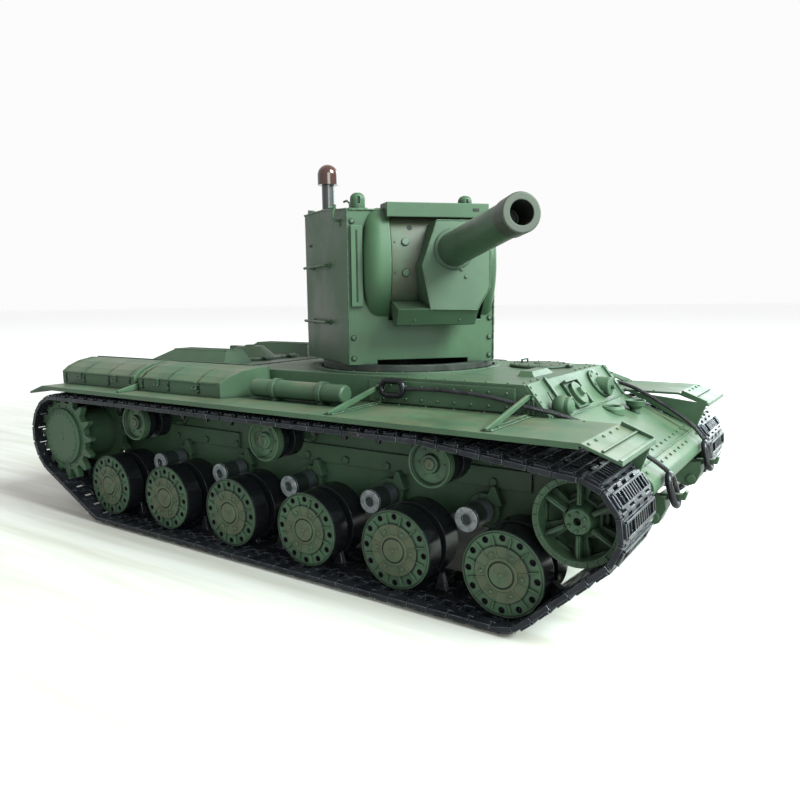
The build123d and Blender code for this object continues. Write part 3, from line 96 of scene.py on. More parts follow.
# ---- material nodes
class Nodes:
    """A short way to write one material's nodes."""

    def __init__(self, name):
        self.material = bpy.data.materials.new(name)
        self.material.use_nodes = True
        self.tree = self.material.node_tree
        self.shader = self.tree.nodes["Principled BSDF"]
        self.shader.inputs["Specular IOR Level"].default_value = 0.28
        self.place = self.make("ShaderNodeTexCoord").outputs["Object"]
        self.face = self.make("ShaderNodeNewGeometry").outputs["Normal"]

    def make(self, kind, **settings):
        node = self.tree.nodes.new(kind)
        for key, value in settings.items():
            setattr(node, key, value)
        return node

    def put(self, socket, value):
        if isinstance(value, bpy.types.NodeSocket):
            self.tree.links.new(value, socket)
        elif isinstance(value, (tuple, list)) and len(socket.default_value) == 4 and len(value) == 3:
            socket.default_value = (*value, 1.0)
        else:
            socket.default_value = value

    def math(self, operation, first, second=0.0, third=None):
        node = self.make("ShaderNodeMath", operation=operation)
        self.put(node.inputs[0], first)
        self.put(node.inputs[1], second)
        if third is not None:
            self.put(node.inputs[2], third)
        return node.outputs[0]

    def times(self, first, second):
        return self.math("MULTIPLY", first, second)

    def away(self, first, second):
        """The distance between two numbers."""
        return self.math("ABSOLUTE", self.math("SUBTRACT", first, second))

    def length(self, first, second):
        """The length of a flat vector."""
        return self.math("SQRT", self.math("ADD", self.times(first, first), self.times(second, second)))

    def place_mm(self):
        """The shaded point's X, Y and Z in millimetres."""
        parts = self.make("ShaderNodeSeparateXYZ")
        self.put(parts.inputs[0], self.place)
        return [self.times(parts.outputs[i], 1 / MM) for i in range(3)]

    def along_mm(self, axis, centre):
        """How far the shaded point lies from centre along axis, in millimetres."""
        reach = self.times(self.dot(self.place, tuple(axis)), 1 / MM)
        return self.math("SUBTRACT", reach, axis.dot(centre))

    def stretched(self, scales):
        """The place scaled by axis, for streaks and grain."""
        node = self.make("ShaderNodeMapping")
        self.put(node.inputs["Vector"], self.place)
        node.inputs["Scale"].default_value = scales
        return node.outputs[0]

    def dot(self, first, second):
        node = self.make("ShaderNodeVectorMath", operation="DOT_PRODUCT")
        self.put(node.inputs[0], first)
        self.put(node.inputs[1], second)
        return node.outputs["Value"]

    def noise(self, scale, detail=3.0, rough=0.55, place=None):
        node = self.make("ShaderNodeTexNoise")
        self.put(node.inputs["Vector"], place or self.place)
        node.inputs["Scale"].default_value = scale
        node.inputs["Detail"].default_value = detail
        node.inputs["Roughness"].default_value = rough
        return node.outputs["Fac"]

    def ramp(self, value, low, high, to_low=0.0, to_high=1.0):
        node = self.make("ShaderNodeMapRange", interpolation_type="SMOOTHSTEP")
        self.put(node.inputs["Value"], value)
        for key, number in (("From Min", low), ("From Max", high), ("To Min", to_low), ("To Max", to_high)):
            node.inputs[key].default_value = number
        return node.outputs["Result"]

    def mix(self, share, first, second, how="MIX"):
        node = self.make("ShaderNodeMix", data_type="RGBA", blend_type=how)
        self.put(node.inputs["Factor"], share)
        self.put(node.inputs[6], first)
        self.put(node.inputs[7], second)
        return node.outputs[2]

    def edges(self, radius, low, high):
        """How near a point is to a sharp edge, and the normal rounded over that edge."""
        round_over = self.make("ShaderNodeBevel", samples=4)
        round_over.inputs["Radius"].default_value = radius * MM
        turned = self.math("SUBTRACT", 1.0, self.dot(round_over.outputs[0], self.face))
        return self.ramp(turned, low, high), round_over.outputs[0]

    def corners(self, distance):
        """How deep a point lies in a corner."""
        node = self.make("ShaderNodeAmbientOcclusion", samples=4)
        node.inputs["Distance"].default_value = distance * MM
        return self.math("SUBTRACT", 1.0, node.outputs["AO"])

    def bump(self, height, strength, distance, normal=None):
        node = self.make("ShaderNodeBump")
        self.put(node.inputs["Height"], height)
        node.inputs["Strength"].default_value = strength
        node.inputs["Distance"].default_value = distance * MM
        if normal is not None:
            self.put(node.inputs["Normal"], normal)
        return node.outputs[0]

    def finish(self, colour, rough, normal, metal=0.0):
        self.put(self.shader.inputs["Base Color"], colour)
        self.put(self.shader.inputs["Roughness"], rough)
        self.put(self.shader.inputs["Normal"], normal)
        self.put(self.shader.inputs["Metallic"], metal)
        return self.material


def shade(colour, share):
    return tuple(part * share for part in colour)


GREEN = (0.028, 0.057, 0.031)
PALE_GREEN = (0.070, 0.125, 0.080)
# Dark green for corners and steps: partly the model's wash, partly painted shade.
WASH_AND_SHADE_GREEN = (0.006, 0.011, 0.007)
DUST = (0.072, 0.072, 0.043)
BROWN = (0.030, 0.024, 0.014)


def green_paint(name, base=GREEN, dust=0.62, rough=0.48, rust=0.25, extra=None):
    """Matt green enamel: cloudy tone, dust on what faces up, dark wash and painted shade in corners, pale
    rubbed edges.
    """
    n = Nodes(name)
    clouds = n.ramp(n.noise(22.0, 4.0), 0.32, 0.68)
    colour = n.mix(clouds, shade(base, 0.80), shade(base, 1.22))
    streaks = n.noise(1.0, 3.0, 0.6, n.stretched((260.0, 260.0, 22.0)))
    colour = n.mix(n.ramp(streaks, 0.56, 0.80, 0.0, 0.45), colour, shade(base, 0.62))
    up = n.math("MAXIMUM", n.dot(n.face, (0.0, 0.0, 1.0)), 0.0)
    settled = n.times(n.ramp(up, 0.35, 0.95, 0.0, dust), n.ramp(n.noise(48.0, 5.0, 0.65), 0.36, 0.66))
    colour = n.mix(settled, colour, DUST)
    grime = n.times(n.ramp(n.noise(75.0, 4.0, 0.7), 0.55, 0.72), rust)
    colour = n.mix(grime, colour, BROWN)
    if extra:
        colour = extra(n, colour)
    edge, rounded = n.edges(0.7, 0.02, 0.22)
    chipped = n.times(edge, n.ramp(n.noise(160.0, 3.0), 0.35, 0.62, 0.15, 0.85))
    colour = n.mix(chipped, colour, PALE_GREEN)
    # Corners are darkened from ambient occlusion: partly the model's dark wash, partly painted shade.
    deep = n.ramp(n.corners(3.4), 0.12, 0.62, 0.0, 0.86)
    colour = n.mix(deep, colour, WASH_AND_SHADE_GREEN)
    normal = n.bump(n.noise(1500.0, 2.0), 0.16, 0.12, rounded)
    return n.finish(colour, n.ramp(clouds, 0.0, 1.0, rough - 0.06, rough + 0.10), normal)


def steel(name, base, worn, rough=0.36, metal=0.55, edge_width=0.5, chips=0.7, dirt=0.3, extra=None):
    """Dark metal or moulded plastic with edges rubbed bright and dirt in patches."""
    n = Nodes(name)
    clouds = n.ramp(n.noise(60.0, 4.0, 0.6), 0.3, 0.7)
    colour = n.mix(clouds, shade(base, 0.7), shade(base, 1.35))
    patches = n.times(n.ramp(n.noise(95.0, 4.0, 0.7), 0.54, 0.74), dirt)
    colour = n.mix(patches, colour, (0.070, 0.060, 0.048))
    if extra:
        colour = extra(n, colour)
    edge, rounded = n.edges(edge_width, 0.02, 0.25)
    rubbed = n.times(edge, n.ramp(n.noise(210.0, 3.0), 0.34, 0.62, 0.1, chips))
    colour = n.mix(rubbed, colour, worn)
    normal = n.bump(n.noise(1100.0, 3.0), 0.14, 0.15, rounded)
    return n.finish(colour, n.ramp(clouds, 0.0, 1.0, rough - 0.07, rough + 0.13), normal, metal)


def polar_about(n, centre_x, pitch, z):
    """Radius about the nearest of a row of wheel axes, distance from the hull's middle, and angle."""
    x, y, up = n.place_mm()
    x = n.math("ADD", x, pitch / 2 - centre_x)
    x = n.math("SUBTRACT", n.math("FLOORED_MODULO", x, pitch), pitch / 2)
    up = n.math("SUBTRACT", up, z)
    return n.length(x, up), n.math("ABSOLUTE", y), n.math("ARCTAN2", up, x)


def running_paint(name, centre_x, pitch, z, face_y, brown, rings, holes=None):
    """A green disc stained brown inside, with wash and painted shade in its corners and round its steps,
    and its holes painted black as painted shade; black tyre behind.
    """
    n = Nodes(name)
    radius, across, angle = polar_about(n, centre_x, pitch, z)
    clouds = n.ramp(n.noise(55.0, 4.0), 0.3, 0.7)
    green = n.mix(clouds, shade(GREEN, 0.78), shade(GREEN, 1.30))
    cloudy = n.ramp(n.noise(150.0, 4.0), 0.3, 0.65, 0.25, 0.8)
    stained = n.times(n.ramp(radius, brown + 0.3, brown - 0.5), cloudy)
    green = n.mix(stained, green, (0.050, 0.050, 0.028))
    edge, rounded = n.edges(0.55, 0.02, 0.22)
    green = n.mix(n.times(edge, 0.6), green, PALE_GREEN)
    # Wash and painted shade in the corners and round the disc's steps.
    green = n.mix(n.ramp(n.corners(2.4), 0.15, 0.65, 0.0, 0.85), green, WASH_AND_SHADE_GREEN)
    for ring in rings:
        green = n.mix(n.ramp(n.away(radius, ring), 0.55, 0.15, 0.0, 0.85), green, WASH_AND_SHADE_GREEN)
    # The holes are painted near-black: painted shade.
    if holes:
        count, hole_ring, hole_r = holes
        step = 2 * pi / count
        turn = n.math("FLOORED_MODULO", n.math("ADD", angle, step / 2), step)
        turn = n.math("SUBTRACT", turn, step / 2)
        along = n.math("SUBTRACT", n.times(radius, n.math("COSINE", turn)), hole_ring)
        gap = n.length(along, n.times(radius, n.math("SINE", turn)))
        green = n.mix(n.ramp(gap, hole_r + 0.12, hole_r - 0.10), green, (0.003, 0.003, 0.003))
    rubbed = n.times(edge, n.ramp(n.noise(200.0, 3.0), 0.4, 0.7, 0.1, 0.5))
    black = n.mix(rubbed, (0.006, 0.0065, 0.008), (0.07, 0.075, 0.09))
    outside = n.ramp(across, face_y - 0.1, face_y + 0.1)
    colour = n.mix(outside, black, green)
    normal = n.bump(n.noise(1300.0, 2.0), 0.12, 0.12, rounded)
    return n.finish(colour, n.ramp(outside, 0.0, 1.0, 0.22, 0.50), normal)


def gun_axes():
    """The gun's own X, Y and Z directions at rest."""
    return [GUN.to_3x3() @ Vector(axis) for axis in ((1, 0, 0), (0, 1, 0), (0, 0, 1))]


def mantlet_paint():
    """The mantlet: brown-stained curved shield, and a paler green nose standing out of it."""
    along, _, upward = gun_axes()
    centre = GUN @ Vector((TRUNNION[0], 0, TRUNNION[1]))

    def stain(n, colour):
        radius = n.length(n.along_mm(along, centre), n.along_mm(upward, centre))
        on_shield = n.ramp(radius, SHIELD_R + 1.0, SHIELD_R + 0.3)
        brown = n.times(on_shield, n.ramp(n.noise(60.0, 4.0, 0.65), 0.30, 0.62, 0.25, 0.80))
        return n.mix(brown, colour, (0.026, 0.022, 0.014))

    return green_paint("mantlet_paint", dust=0.2, rust=0.15, extra=stain)


def barrel_paint():
    """The barrel: green, with a dark rubbed muzzle ring, and its bore painted black as painted shade."""
    centre = GUN @ Vector((0, *BORE))

    def muzzle(n, colour):
        reach, side, rise = [n.along_mm(axis, centre) for axis in gun_axes()]
        radius = n.length(side, rise)
        colour = n.mix(n.ramp(reach, 134.0, 134.6, 0.0, 0.72), colour, (0.026, 0.022, 0.020))
        # Inside the bore the colour is painted near-black: painted shade.
        return n.mix(n.ramp(radius, 5.3, 5.0, 0.0, 0.85), colour, (0.008, 0.008, 0.008))

    return green_paint("barrel_paint", dust=0.25, rust=0.35, extra=muzzle)


def receiver_finish():
    """A glossy brown cap on a black post."""
    n = Nodes("receiver_brown")
    cap = n.ramp(n.place_mm()[2], 204.4, 204.8)
    tone = n.mix(n.noise(90.0, 3.0), (0.022, 0.007, 0.005), (0.036, 0.012, 0.008))
    post = n.mix(n.noise(120.0, 3.0), (0.008, 0.008, 0.009), (0.020, 0.020, 0.022))
    edge, rounded = n.edges(0.4, 0.02, 0.3)
    post = n.mix(n.times(edge, 0.4), post, (0.09, 0.09, 0.095))
    n.shader.inputs["Coat Weight"].default_value = 0.6
    n.shader.inputs["Coat Roughness"].default_value = 0.08
    normal = n.bump(n.noise(900.0), 0.05, 0.1, rounded)
    return n.finish(n.mix(cap, post, tone), n.ramp(cap, 0.0, 1.0, 0.42, 0.14), normal)


def boss_tones(n, colour):
    """The boss behind its face is dark green, and the face itself is rubbed grey."""
    across = n.math("ABSOLUTE", n.place_mm()[1])
    boss = n.times(n.ramp(across, 67.7, 68.0), n.ramp(across, 77.8, 77.6))
    colour = n.mix(n.times(boss, 0.85), colour, (0.012, 0.022, 0.018))
    face = n.times(n.ramp(across, 77.8, 77.9), n.ramp(n.noise(260.0, 3.0), 0.35, 0.6, 0.45, 1.0))
    return n.mix(n.times(face, n.ramp(across, 79.5, 79.3)), colour, (0.21, 0.225, 0.24))


HULL = green_paint("hull_paint")
FRONT = green_paint("front_paint", dust=0.35)
# The turret's green is a darker copy of the hull's green: painted shade.
TURRET_SHADED_PAINT = green_paint("turret_shaded_paint", base=(0.021, 0.050, 0.024), dust=0.3, rust=0.22)
MANTLET = mantlet_paint()
BARREL = barrel_paint()
DARK_HATCH = green_paint("hatch_dark", base=(0.018, 0.034, 0.019), dust=0.30, rust=0.4)
WHEEL = running_paint("wheel_finish", WHEEL_X[0], WHEEL_PITCH, WHEEL_Z, face_y=94.35, brown=12.3,
                      rings=(5.8, 12.5, 17.9), holes=(12, 15.7, 1.55))
ROLLER = running_paint("roller_finish", ROLLER_X[0], ROLLER_PITCH, ROLLER_Z, face_y=88.0, brown=2.6,
                       rings=(2.8, 4.3, 9.2))
SPROCKET_PAINT = green_paint("sprocket_paint", dust=0.15, rust=0.5)
IDLER_PAINT = green_paint("idler_paint", dust=0.15, rust=0.35)
TRACK = steel("track_black", (0.014, 0.015, 0.019), (0.24, 0.26, 0.31), rough=0.32, metal=0.6,
              edge_width=0.45, chips=0.7)
ARM = steel("arm_steel", (0.085, 0.095, 0.108), (0.40, 0.42, 0.45), rough=0.38, metal=0.45,
            chips=0.8, extra=boss_tones)
CABLE = steel("cable_black", (0.014, 0.014, 0.016), (0.12, 0.12, 0.13), rough=0.42, metal=0.5,
              edge_width=0.2)
EYE = steel("eye_black", (0.010, 0.010, 0.012), (0.08, 0.08, 0.09), rough=0.30, metal=0.4)
# The turret ring is near-black green, partly painted shade for the shadow under the turret.
RING = steel("ring_painted_shade", (0.014, 0.018, 0.015), (0.10, 0.13, 0.11), rough=0.5, metal=0.2)
RECEIVER = receiver_finish()
GEARBOX = steel("gearbox_grey", (0.16, 0.165, 0.17), (0.5, 0.5, 0.5), rough=0.4, metal=0.6)
BOARD = steel("electronics_blue", (0.02, 0.06, 0.16), (0.2, 0.25, 0.3), rough=0.5, metal=0.0)
# Black for the fills in slits, openings and sockets: painted shade.
OPENING_SHADE_BLACK = steel("opening_shade_black", (0.006, 0.007, 0.007), (0.02, 0.02, 0.02), rough=0.7, metal=0.0)

# The first start that fits a node's name gives its material.
NODE_FINISH = [
    ("track_", TRACK), ("road_wheel_", WHEEL), ("swing_arm_", ARM), ("drive_sprocket_", SPROCKET_PAINT),
    ("idler_wheel_", IDLER_PAINT), ("return_roller_", ROLLER), ("lower_hull", HULL), ("upper_hull", FRONT),
    ("fender", HULL), ("headlights", FRONT), ("driver_visor", FRONT), ("bow_machine_gun", FRONT),
    ("hull_hatch", DARK_HATCH), ("tow_hooks", HULL), ("tow_cable_", CABLE), ("cable_eyes", EYE),
    ("turret_ring", RING), ("turret_motor", GEARBOX), ("turret_", TURRET_SHADED_PAINT), ("gun_mantlet", MANTLET),
    ("gun_barrel", BARREL), ("infrared_receiver", RECEIVER), ("drive_gearboxes", GEARBOX),
    ("electronics", BOARD)]
for node_name, node_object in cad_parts.items():
    finish = next(material for start, material in NODE_FINISH if node_name.startswith(start))
    if not node_object.material_slots:
        node_object.data.materials.append(finish)
    for slot in node_object.material_slots:
        slot.material = finish


# ---- mesh helpers
UPWARD = (0, 0, 1)
FORWARD = (1, 0, 0)
BACKWARD = (-1, 0, 0)
RIGHTWARD = (0, -1, 0)
def facing(at, axis, spin=0.0):
    """A place whose Z looks along axis."""
    turn = Vector(axis).normalized().to_track_quat("Z", "Y").to_matrix().to_4x4()
    return Matrix.Translation(at) @ turn @ Matrix.Rotation(spin, 4, "Z")


def block(bm, at, size, turn=None):
    matrix = Matrix.Translation(at) @ (turn or Matrix.Identity(4)) @ Matrix.Diagonal((*size, 1.0))
    bmesh.ops.create_cube(bm, size=1.0, matrix=matrix)


def bar(bm, place, at, size):
    """A block set at a point of a place, square to that place."""
    bmesh.ops.create_cube(bm, size=1.0, matrix=place @ Matrix.Translation(at) @ Matrix.Diagonal((*size, 1)))


def spun(bm, place, outline, sides=24):
    """A solid of revolution about the place's Z axis, from (radius, height) points.

    The outline starts and ends on the axis, or closes on itself to make a ring."""
    angles = [2 * pi * k / sides for k in range(sides)]
    rings = []
    for r, height in outline:
        points = [(r * cos(a), r * sin(a), height) for a in angles] if r else [(0, 0, height)]
        rings.append([bm.verts.new(place @ Vector(point)) for point in points])
    for low, high in zip(rings, rings[1:]):
        for k in range(sides):
            after = (k + 1) % sides
            if len(low) == 1:
                bm.faces.new((low[0], high[after], high[k]))
            elif len(high) == 1:
                bm.faces.new((low[k], low[after], high[0]))
            else:
                bm.faces.new((low[k], low[after], high[after], high[k]))


def bolt(bm, at, axis, radius=0.9, height=0.7, sides=6):
    """A bolt head: a short skirt, six or more flats and a slightly domed top."""
    spun(bm, facing(at, axis, 0.3), [(0, -0.15), (radius * 1.12, -0.15), (radius * 1.12, height * 0.18),
                                     (radius, height * 0.25), (radius * 0.94, height * 0.85),
                                     (radius * 0.6, height), (0, height * 1.05)], sides)


def bolt_ring(bm, at, count, ring, height, radius, tall, phase=0.0):
    """Bolts in a circle about the axis of a place that faces right."""
    for k in range(count):
        spin = at @ Matrix.Rotation(2 * pi * (k + phase) / count, 4, "Z")
        bolt(bm, spin @ Vector((ring, 0, height)), RIGHTWARD, radius, tall)


def rod(bm, points, radius, sides=8, wobble=None):
    """A round bar through points, with flat ends."""
    points = [Vector(point) for point in points]
    heading = (points[1] - points[0]).normalized()
    side = heading.orthogonal().normalized()
    angles = [2 * pi * k / sides for k in range(sides)]
    rings = []
    for i, point in enumerate(points):
        ahead = (points[min(i + 1, len(points) - 1)] - points[max(i - 1, 0)]).normalized()
        side = (side - ahead * side.dot(ahead)).normalized()
        lift = ahead.cross(side)
        r = radius * (wobble() if wobble else 1.0)
        rings.append([bm.verts.new(point + r * (side * cos(a) + lift * sin(a))) for a in angles])
    for low, high in zip(rings, rings[1:]):
        for k in range(sides):
            after = (k + 1) % sides
            bm.faces.new((low[k], low[after], high[after], high[k]))
    bm.faces.new(rings[0][::-1])
    bm.faces.new(rings[-1])


def weld(bm, start, end, radius=0.5, seed=1):
    """A bead of weld between two points, its thickness uneven."""
    draw = random.Random(seed)
    start, end = Vector(start), Vector(end)
    steps = max(4, int((end - start).length / 1.1))
    points = [start.lerp(end, k / steps) for k in range(steps + 1)]
    rod(bm, points, radius, 6, lambda: draw.uniform(0.75, 1.2))


def ribbon(bm, outline, x_from, x_to, thickness):
    """A thin strip bent along an outline of (y, z) points, standing thickness proud of it."""
    rings = []
    for x in (x_from, x_to):
        inner = [Vector((x, y, z)) for y, z in outline]
        outer = []
        for i, point in enumerate(inner):
            ahead = (inner[min(i + 1, len(inner) - 1)] - inner[max(i - 1, 0)]).normalized()
            outer.append(point + Vector((0, ahead.z, -ahead.y)) * thickness)
        rings.append([bm.verts.new(p) for p in inner + outer[::-1]])
    count = len(rings[0])
    for k in range(count):
        after = (k + 1) % count
        bm.faces.new((rings[0][k], rings[0][after], rings[1][after], rings[1][k]))
    bm.faces.new(rings[0][::-1])
    bm.faces.new(rings[1])


def piece(name, body, material, build, place=None, mirrored=False, soften=0.08):
    """One mesh piece in millimetres, set in place, softened along its edges and riding on a body."""
    bm = bmesh.new()
    build(bm)
    if place is not None:
        bmesh.ops.transform(bm, matrix=place, verts=bm.verts)
    if mirrored:
        bmesh.ops.scale(bm, vec=(1, -1, 1), verts=bm.verts)
    bmesh.ops.recalc_face_normals(bm, faces=bm.faces)
    bmesh.ops.scale(bm, vec=(MM, MM, MM), verts=bm.verts)
    mesh = bpy.data.meshes.new(name)
    bm.to_mesh(mesh)
    bm.free()
    mesh.materials.append(material)
    made = bpy.data.objects.new(name, mesh)
    bpy.context.scene.collection.objects.link(made)
    if soften:
        round_off = made.modifiers.new("soften", "BEVEL")
        round_off.width = soften * MM
        round_off.segments = 2
        round_off.limit_method = "ANGLE"
        round_off.angle_limit = radians(35)
    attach(made, body)
    return made


def both(name, body, material, build, soften=0.08):
    """The same piece on both sides of the hull; body is a right-hand body's name or the hull."""
    piece(name + "_right", body, material, build, soften=soften)
    left_body = body.replace("right", "left")
    piece(name + "_left", left_body, material, build, mirrored=True, soften=soften)


# ---- tow cables
RIGHT_CABLE = [
    (MID + 66.4, -61.8, 92.1), (MID + 82.0, -61.3, 92.9), (MID + 99.0, -62.0, 92.4),
    (MID + 115.0, -61.3, 91.1), (MID + 129.0, -61.0, 88.0), (MID + 141.0, -57.4, 85.8),
    (MID + 151.5, -52.6, 82.0), (MID + 162.0, -49.4, 76.8), (MID + 172.0, -47.6, 71.6),
    (MID + 181.4, -43.8, 67.2), (MID + 187.0, -40.2, 61.4)]
LEFT_CABLE = [
    (MID + 66.4, 61.8, 92.2), (MID + 83.0, 61.2, 92.6), (MID + 100.0, 61.9, 93.0),
    (MID + 116.0, 61.4, 91.2), (MID + 130.0, 60.8, 87.9), (MID + 142.0, 56.8, 85.8),
    (MID + 152.0, 53.0, 82.6), (MID + 162.6, 50.4, 77.6), (MID + 172.4, 48.4, 72.2),
    (MID + 181.6, 44.0, 67.0), (MID + 187.0, 40.2, 61.4)]
STRAND_COUNT = 6
STRAND_R = 0.40
CORE_R = 0.42
LAY_R = 0.68  # from the rope's middle to a strand's
LAY_PITCH = 9.0  # the length of rope in which a strand goes once round


def smooth_line(route):
    """Points along the smooth line that has the route's points as its control points."""
    curve = bpy.data.curves.new("route", "CURVE")
    curve.dimensions = "3D"
    spline = curve.splines.new("NURBS")
    spline.points.add(len(route) - 1)
    for point, at in zip(spline.points, route):
        point.co = (*(c * MM for c in at), 1.0)
    spline.order_u = 3
    spline.use_endpoint_u = True
    spline.resolution_u = 24
    holder = bpy.data.objects.new("route", curve)
    bpy.context.scene.collection.objects.link(holder)
    bpy.context.view_layer.update()
    mesh = bpy.data.meshes.new_from_object(holder.evaluated_get(bpy.context.evaluated_depsgraph_get()))
    line = [vertex.co / MM for vertex in mesh.vertices]
    bpy.data.objects.remove(holder)
    bpy.data.meshes.remove(mesh)
    return line


def wire_rope(route):
    """Strands laid round a core along a route."""
    def build(bm):
        line = smooth_line(route)
        side = (line[1] - line[0]).orthogonal().normalized()
        run = 0.0
        paths = [[] for _ in range(STRAND_COUNT)]
        for i, point in enumerate(line):
            ahead = (line[min(i + 1, len(line) - 1)] - line[max(i - 1, 0)]).normalized()
            side = (side - ahead * side.dot(ahead)).normalized()
            lift = ahead.cross(side)
            if i:
                run += (point - line[i - 1]).length
            for k in range(STRAND_COUNT):
                angle = 2 * pi * (run / LAY_PITCH + k / STRAND_COUNT)
                paths[k].append(point + LAY_R * (side * cos(angle) + lift * sin(angle)))
        for path in paths:
            rod(bm, path, STRAND_R, 6)
        rod(bm, line, CORE_R, 6)
    return build


for cable_name, cable_route in (("tow_cable_right", RIGHT_CABLE), ("tow_cable_left", LEFT_CABLE)):
    rope_name = cable_name.replace("cable", "rope")
    rope = piece(rope_name, "hull", CABLE, wire_rope(cable_route), soften=0)
    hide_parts(cable_name)


# ---- running gear
def wheel_face(x):
    """Ribs, hub bolts and cap of one right-hand road wheel."""
    def build(bm):
        at = facing((x, -95.6, WHEEL_Z), RIGHTWARD)
        for k in range(12):
            turn = at @ Matrix.Rotation(pi * (k + 0.5) / 6, 4, "Z")
            bar(bm, turn, (11.3, 0, -0.35), (10.6, 0.55, 1.3))
        spun(bm, at @ Matrix.Translation((0, 0, -1.1)),
             [(17.9, -0.2), (18.6, -0.2), (18.6, 0.5), (18.2, 0.7), (17.9, 0.5), (17.9, -0.2)], 64)
        spun(bm, at, [(5.9, -0.2), (7.4, -0.2), (7.4, 0.28), (7.0, 0.45), (6.0, 0.45), (5.9, -0.2)], 36)
        for k in range(3):
            angle = 2 * pi * k / 3 + 0.5
            bolt(bm, at @ Vector((2.7 * cos(angle), 2.7 * sin(angle), 0.78)), RIGHTWARD, 0.55, 0.4, 8)
        spun(bm, at @ Matrix.Translation((0, 0, 0.75)),
             [(0, -0.1), (1.1, -0.1), (1.1, 0.3), (0.7, 0.55), (0, 0.6)], 14)
        bolt_ring(bm, at, 6, 9.4, 0.5, 0.72, 0.5)
    return build


def arm_boss(x, face_y):
    """Cap, bolts and collar on the boss of a swing arm, and a clamp bolt on the arm."""
    def build(bm):
        at = facing((x + ARM_PIVOT[0], face_y, WHEEL_Z + ARM_PIVOT[1]), RIGHTWARD)
        spun(bm, at, [(2.7, -0.2), (3.1, -0.2), (3.1, 0.35), (2.9, 0.5), (2.7, 0.35), (2.7, -0.2)], 24)
        bolt_ring(bm, at, 6, 4.45, 0.0, 0.62, 0.55)
        if face_y == BOSS_FACE_Y:
            spun(bm, at @ Matrix.Translation((0, 0, -1.4)),
                 [(5.7, -0.9), (6.0, -0.9), (6.15, 0.0), (6.0, 0.5), (5.7, 0.5), (5.7, -0.9)], 32)
        for share in (0.32, 0.68):
            bolt(bm, (x + ARM_PIVOT[0] * share, ARM_FACE_Y, WHEEL_Z + ARM_PIVOT[1] * share),
                 RIGHTWARD, 1.0, 0.7)
    return build


for i, wheel_x in enumerate(WHEEL_X):
    both(f"wheel_face_{i + 1}", f"wheel_right_{i + 1}", WHEEL, wheel_face(wheel_x))
    boss = arm_boss(wheel_x, LAST_BOSS_FACE_Y if i == 5 else BOSS_FACE_Y)
    both(f"arm_cap_{i + 1}", f"arm_right_{i + 1}", ARM, boss)


def sprocket_cover(bm):
    """Lip round the flat cover, and bolts that hold the toothed ring."""
    at = facing((SPROCKET[0], -99.4, SPROCKET[1]), RIGHTWARD)
    spun(bm, at, [(16.2, -0.4), (16.7, -0.4), (16.7, 0.15), (16.45, 0.3), (16.2, 0.15), (16.2, -0.4)], 48)
    spun(bm, at, [(0, -0.2), (2.4, -0.2), (2.4, 0.15), (2.0, 0.3), (0, 0.35)], 24)
    bolt_ring(bm, at, 16, 19.9, -2.3, 0.7, 0.5, phase=0.5)


def idler_cover(bm):
    """Short ribs and a lip on the rim, hub bolts and collar, and a rib on each spoke."""
    at = facing((IDLER[0], -94.5, IDLER[1]), RIGHTWARD)
    for k in range(24):
        bar(bm, at @ Matrix.Rotation(pi * k / 12, 4, "Z"), (16.9, 0, 0.15), (2.3, 0.8, 0.55))
    spun(bm, at, [(15.7, -0.2), (16.2, -0.2), (16.2, 0.35), (15.9, 0.5), (15.7, 0.35), (15.7, -0.2)], 48)
    bolt_ring(bm, at, 6, 3.7, -0.9, 0.62, 1.6, phase=0.5)
    spun(bm, at @ Matrix.Translation((0, 0, -1.05)),
         [(1.7, -0.2), (2.3, -0.2), (2.3, 0.3), (1.7, 0.3), (1.7, -0.2)], 20)
    for k in range(6):
        bar(bm, at @ Matrix.Rotation(pi * k / 3 + pi / 6, 4, "Z"), (11.2, 0, -2.3), (9.0, 0.7, 0.8))


def roller_cap(x):
    """Hub cap, bolts and rim lip of one return roller."""
    def build(bm):
        at = facing((x, -91.4, ROLLER_Z), RIGHTWARD)
        spun(bm, at, [(0, -0.2), (2.6, -0.2), (2.6, 0.2), (2.2, 0.5), (0.9, 0.6), (0.8, 0.3), (0, 0.3)], 20)
        bolt_ring(bm, at, 6, 6.6, -1.8, 0.6, 0.6)
        spun(bm, at @ Matrix.Translation((0, 0, 0.4)),
             [(9.8, -0.4), (10.8, -0.4), (10.8, 0.1), (10.3, 0.35), (9.8, 0.1), (9.8, -0.4)], 40)
    return build


# The chain of links lies along arcs and straight runs round the wheels, as in the CAD.
LINK_PITCH = 10.07
LINK_COUNT = 84
LINE_OFFSET = 1.2  # from a wheel's rim to the links' pitch line
TRACK_Y = -81.9
PIN_X = 5.03  # a link's pin, ahead of its middle
PIN_END_Y = 18.9
SPROCKET_TEETH = 16
IDLER_R = 18.2
ROLLER_R = 11.0
# X, Z and pitch-line radius of each wheel that the chain turns round, in the order it meets them.
CHAIN = [(*SPROCKET, SPROCKET_TEETH * LINK_PITCH / (2 * pi)),
         (WHEEL_X[0], WHEEL_Z, WHEEL_R + LINE_OFFSET), (WHEEL_X[5], WHEEL_Z, WHEEL_R + LINE_OFFSET),
         (*IDLER, IDLER_R + LINE_OFFSET),
         (ROLLER_X[2], ROLLER_Z, ROLLER_R + LINE_OFFSET), (ROLLER_X[0], ROLLER_Z, ROLLER_R + LINE_OFFSET)]


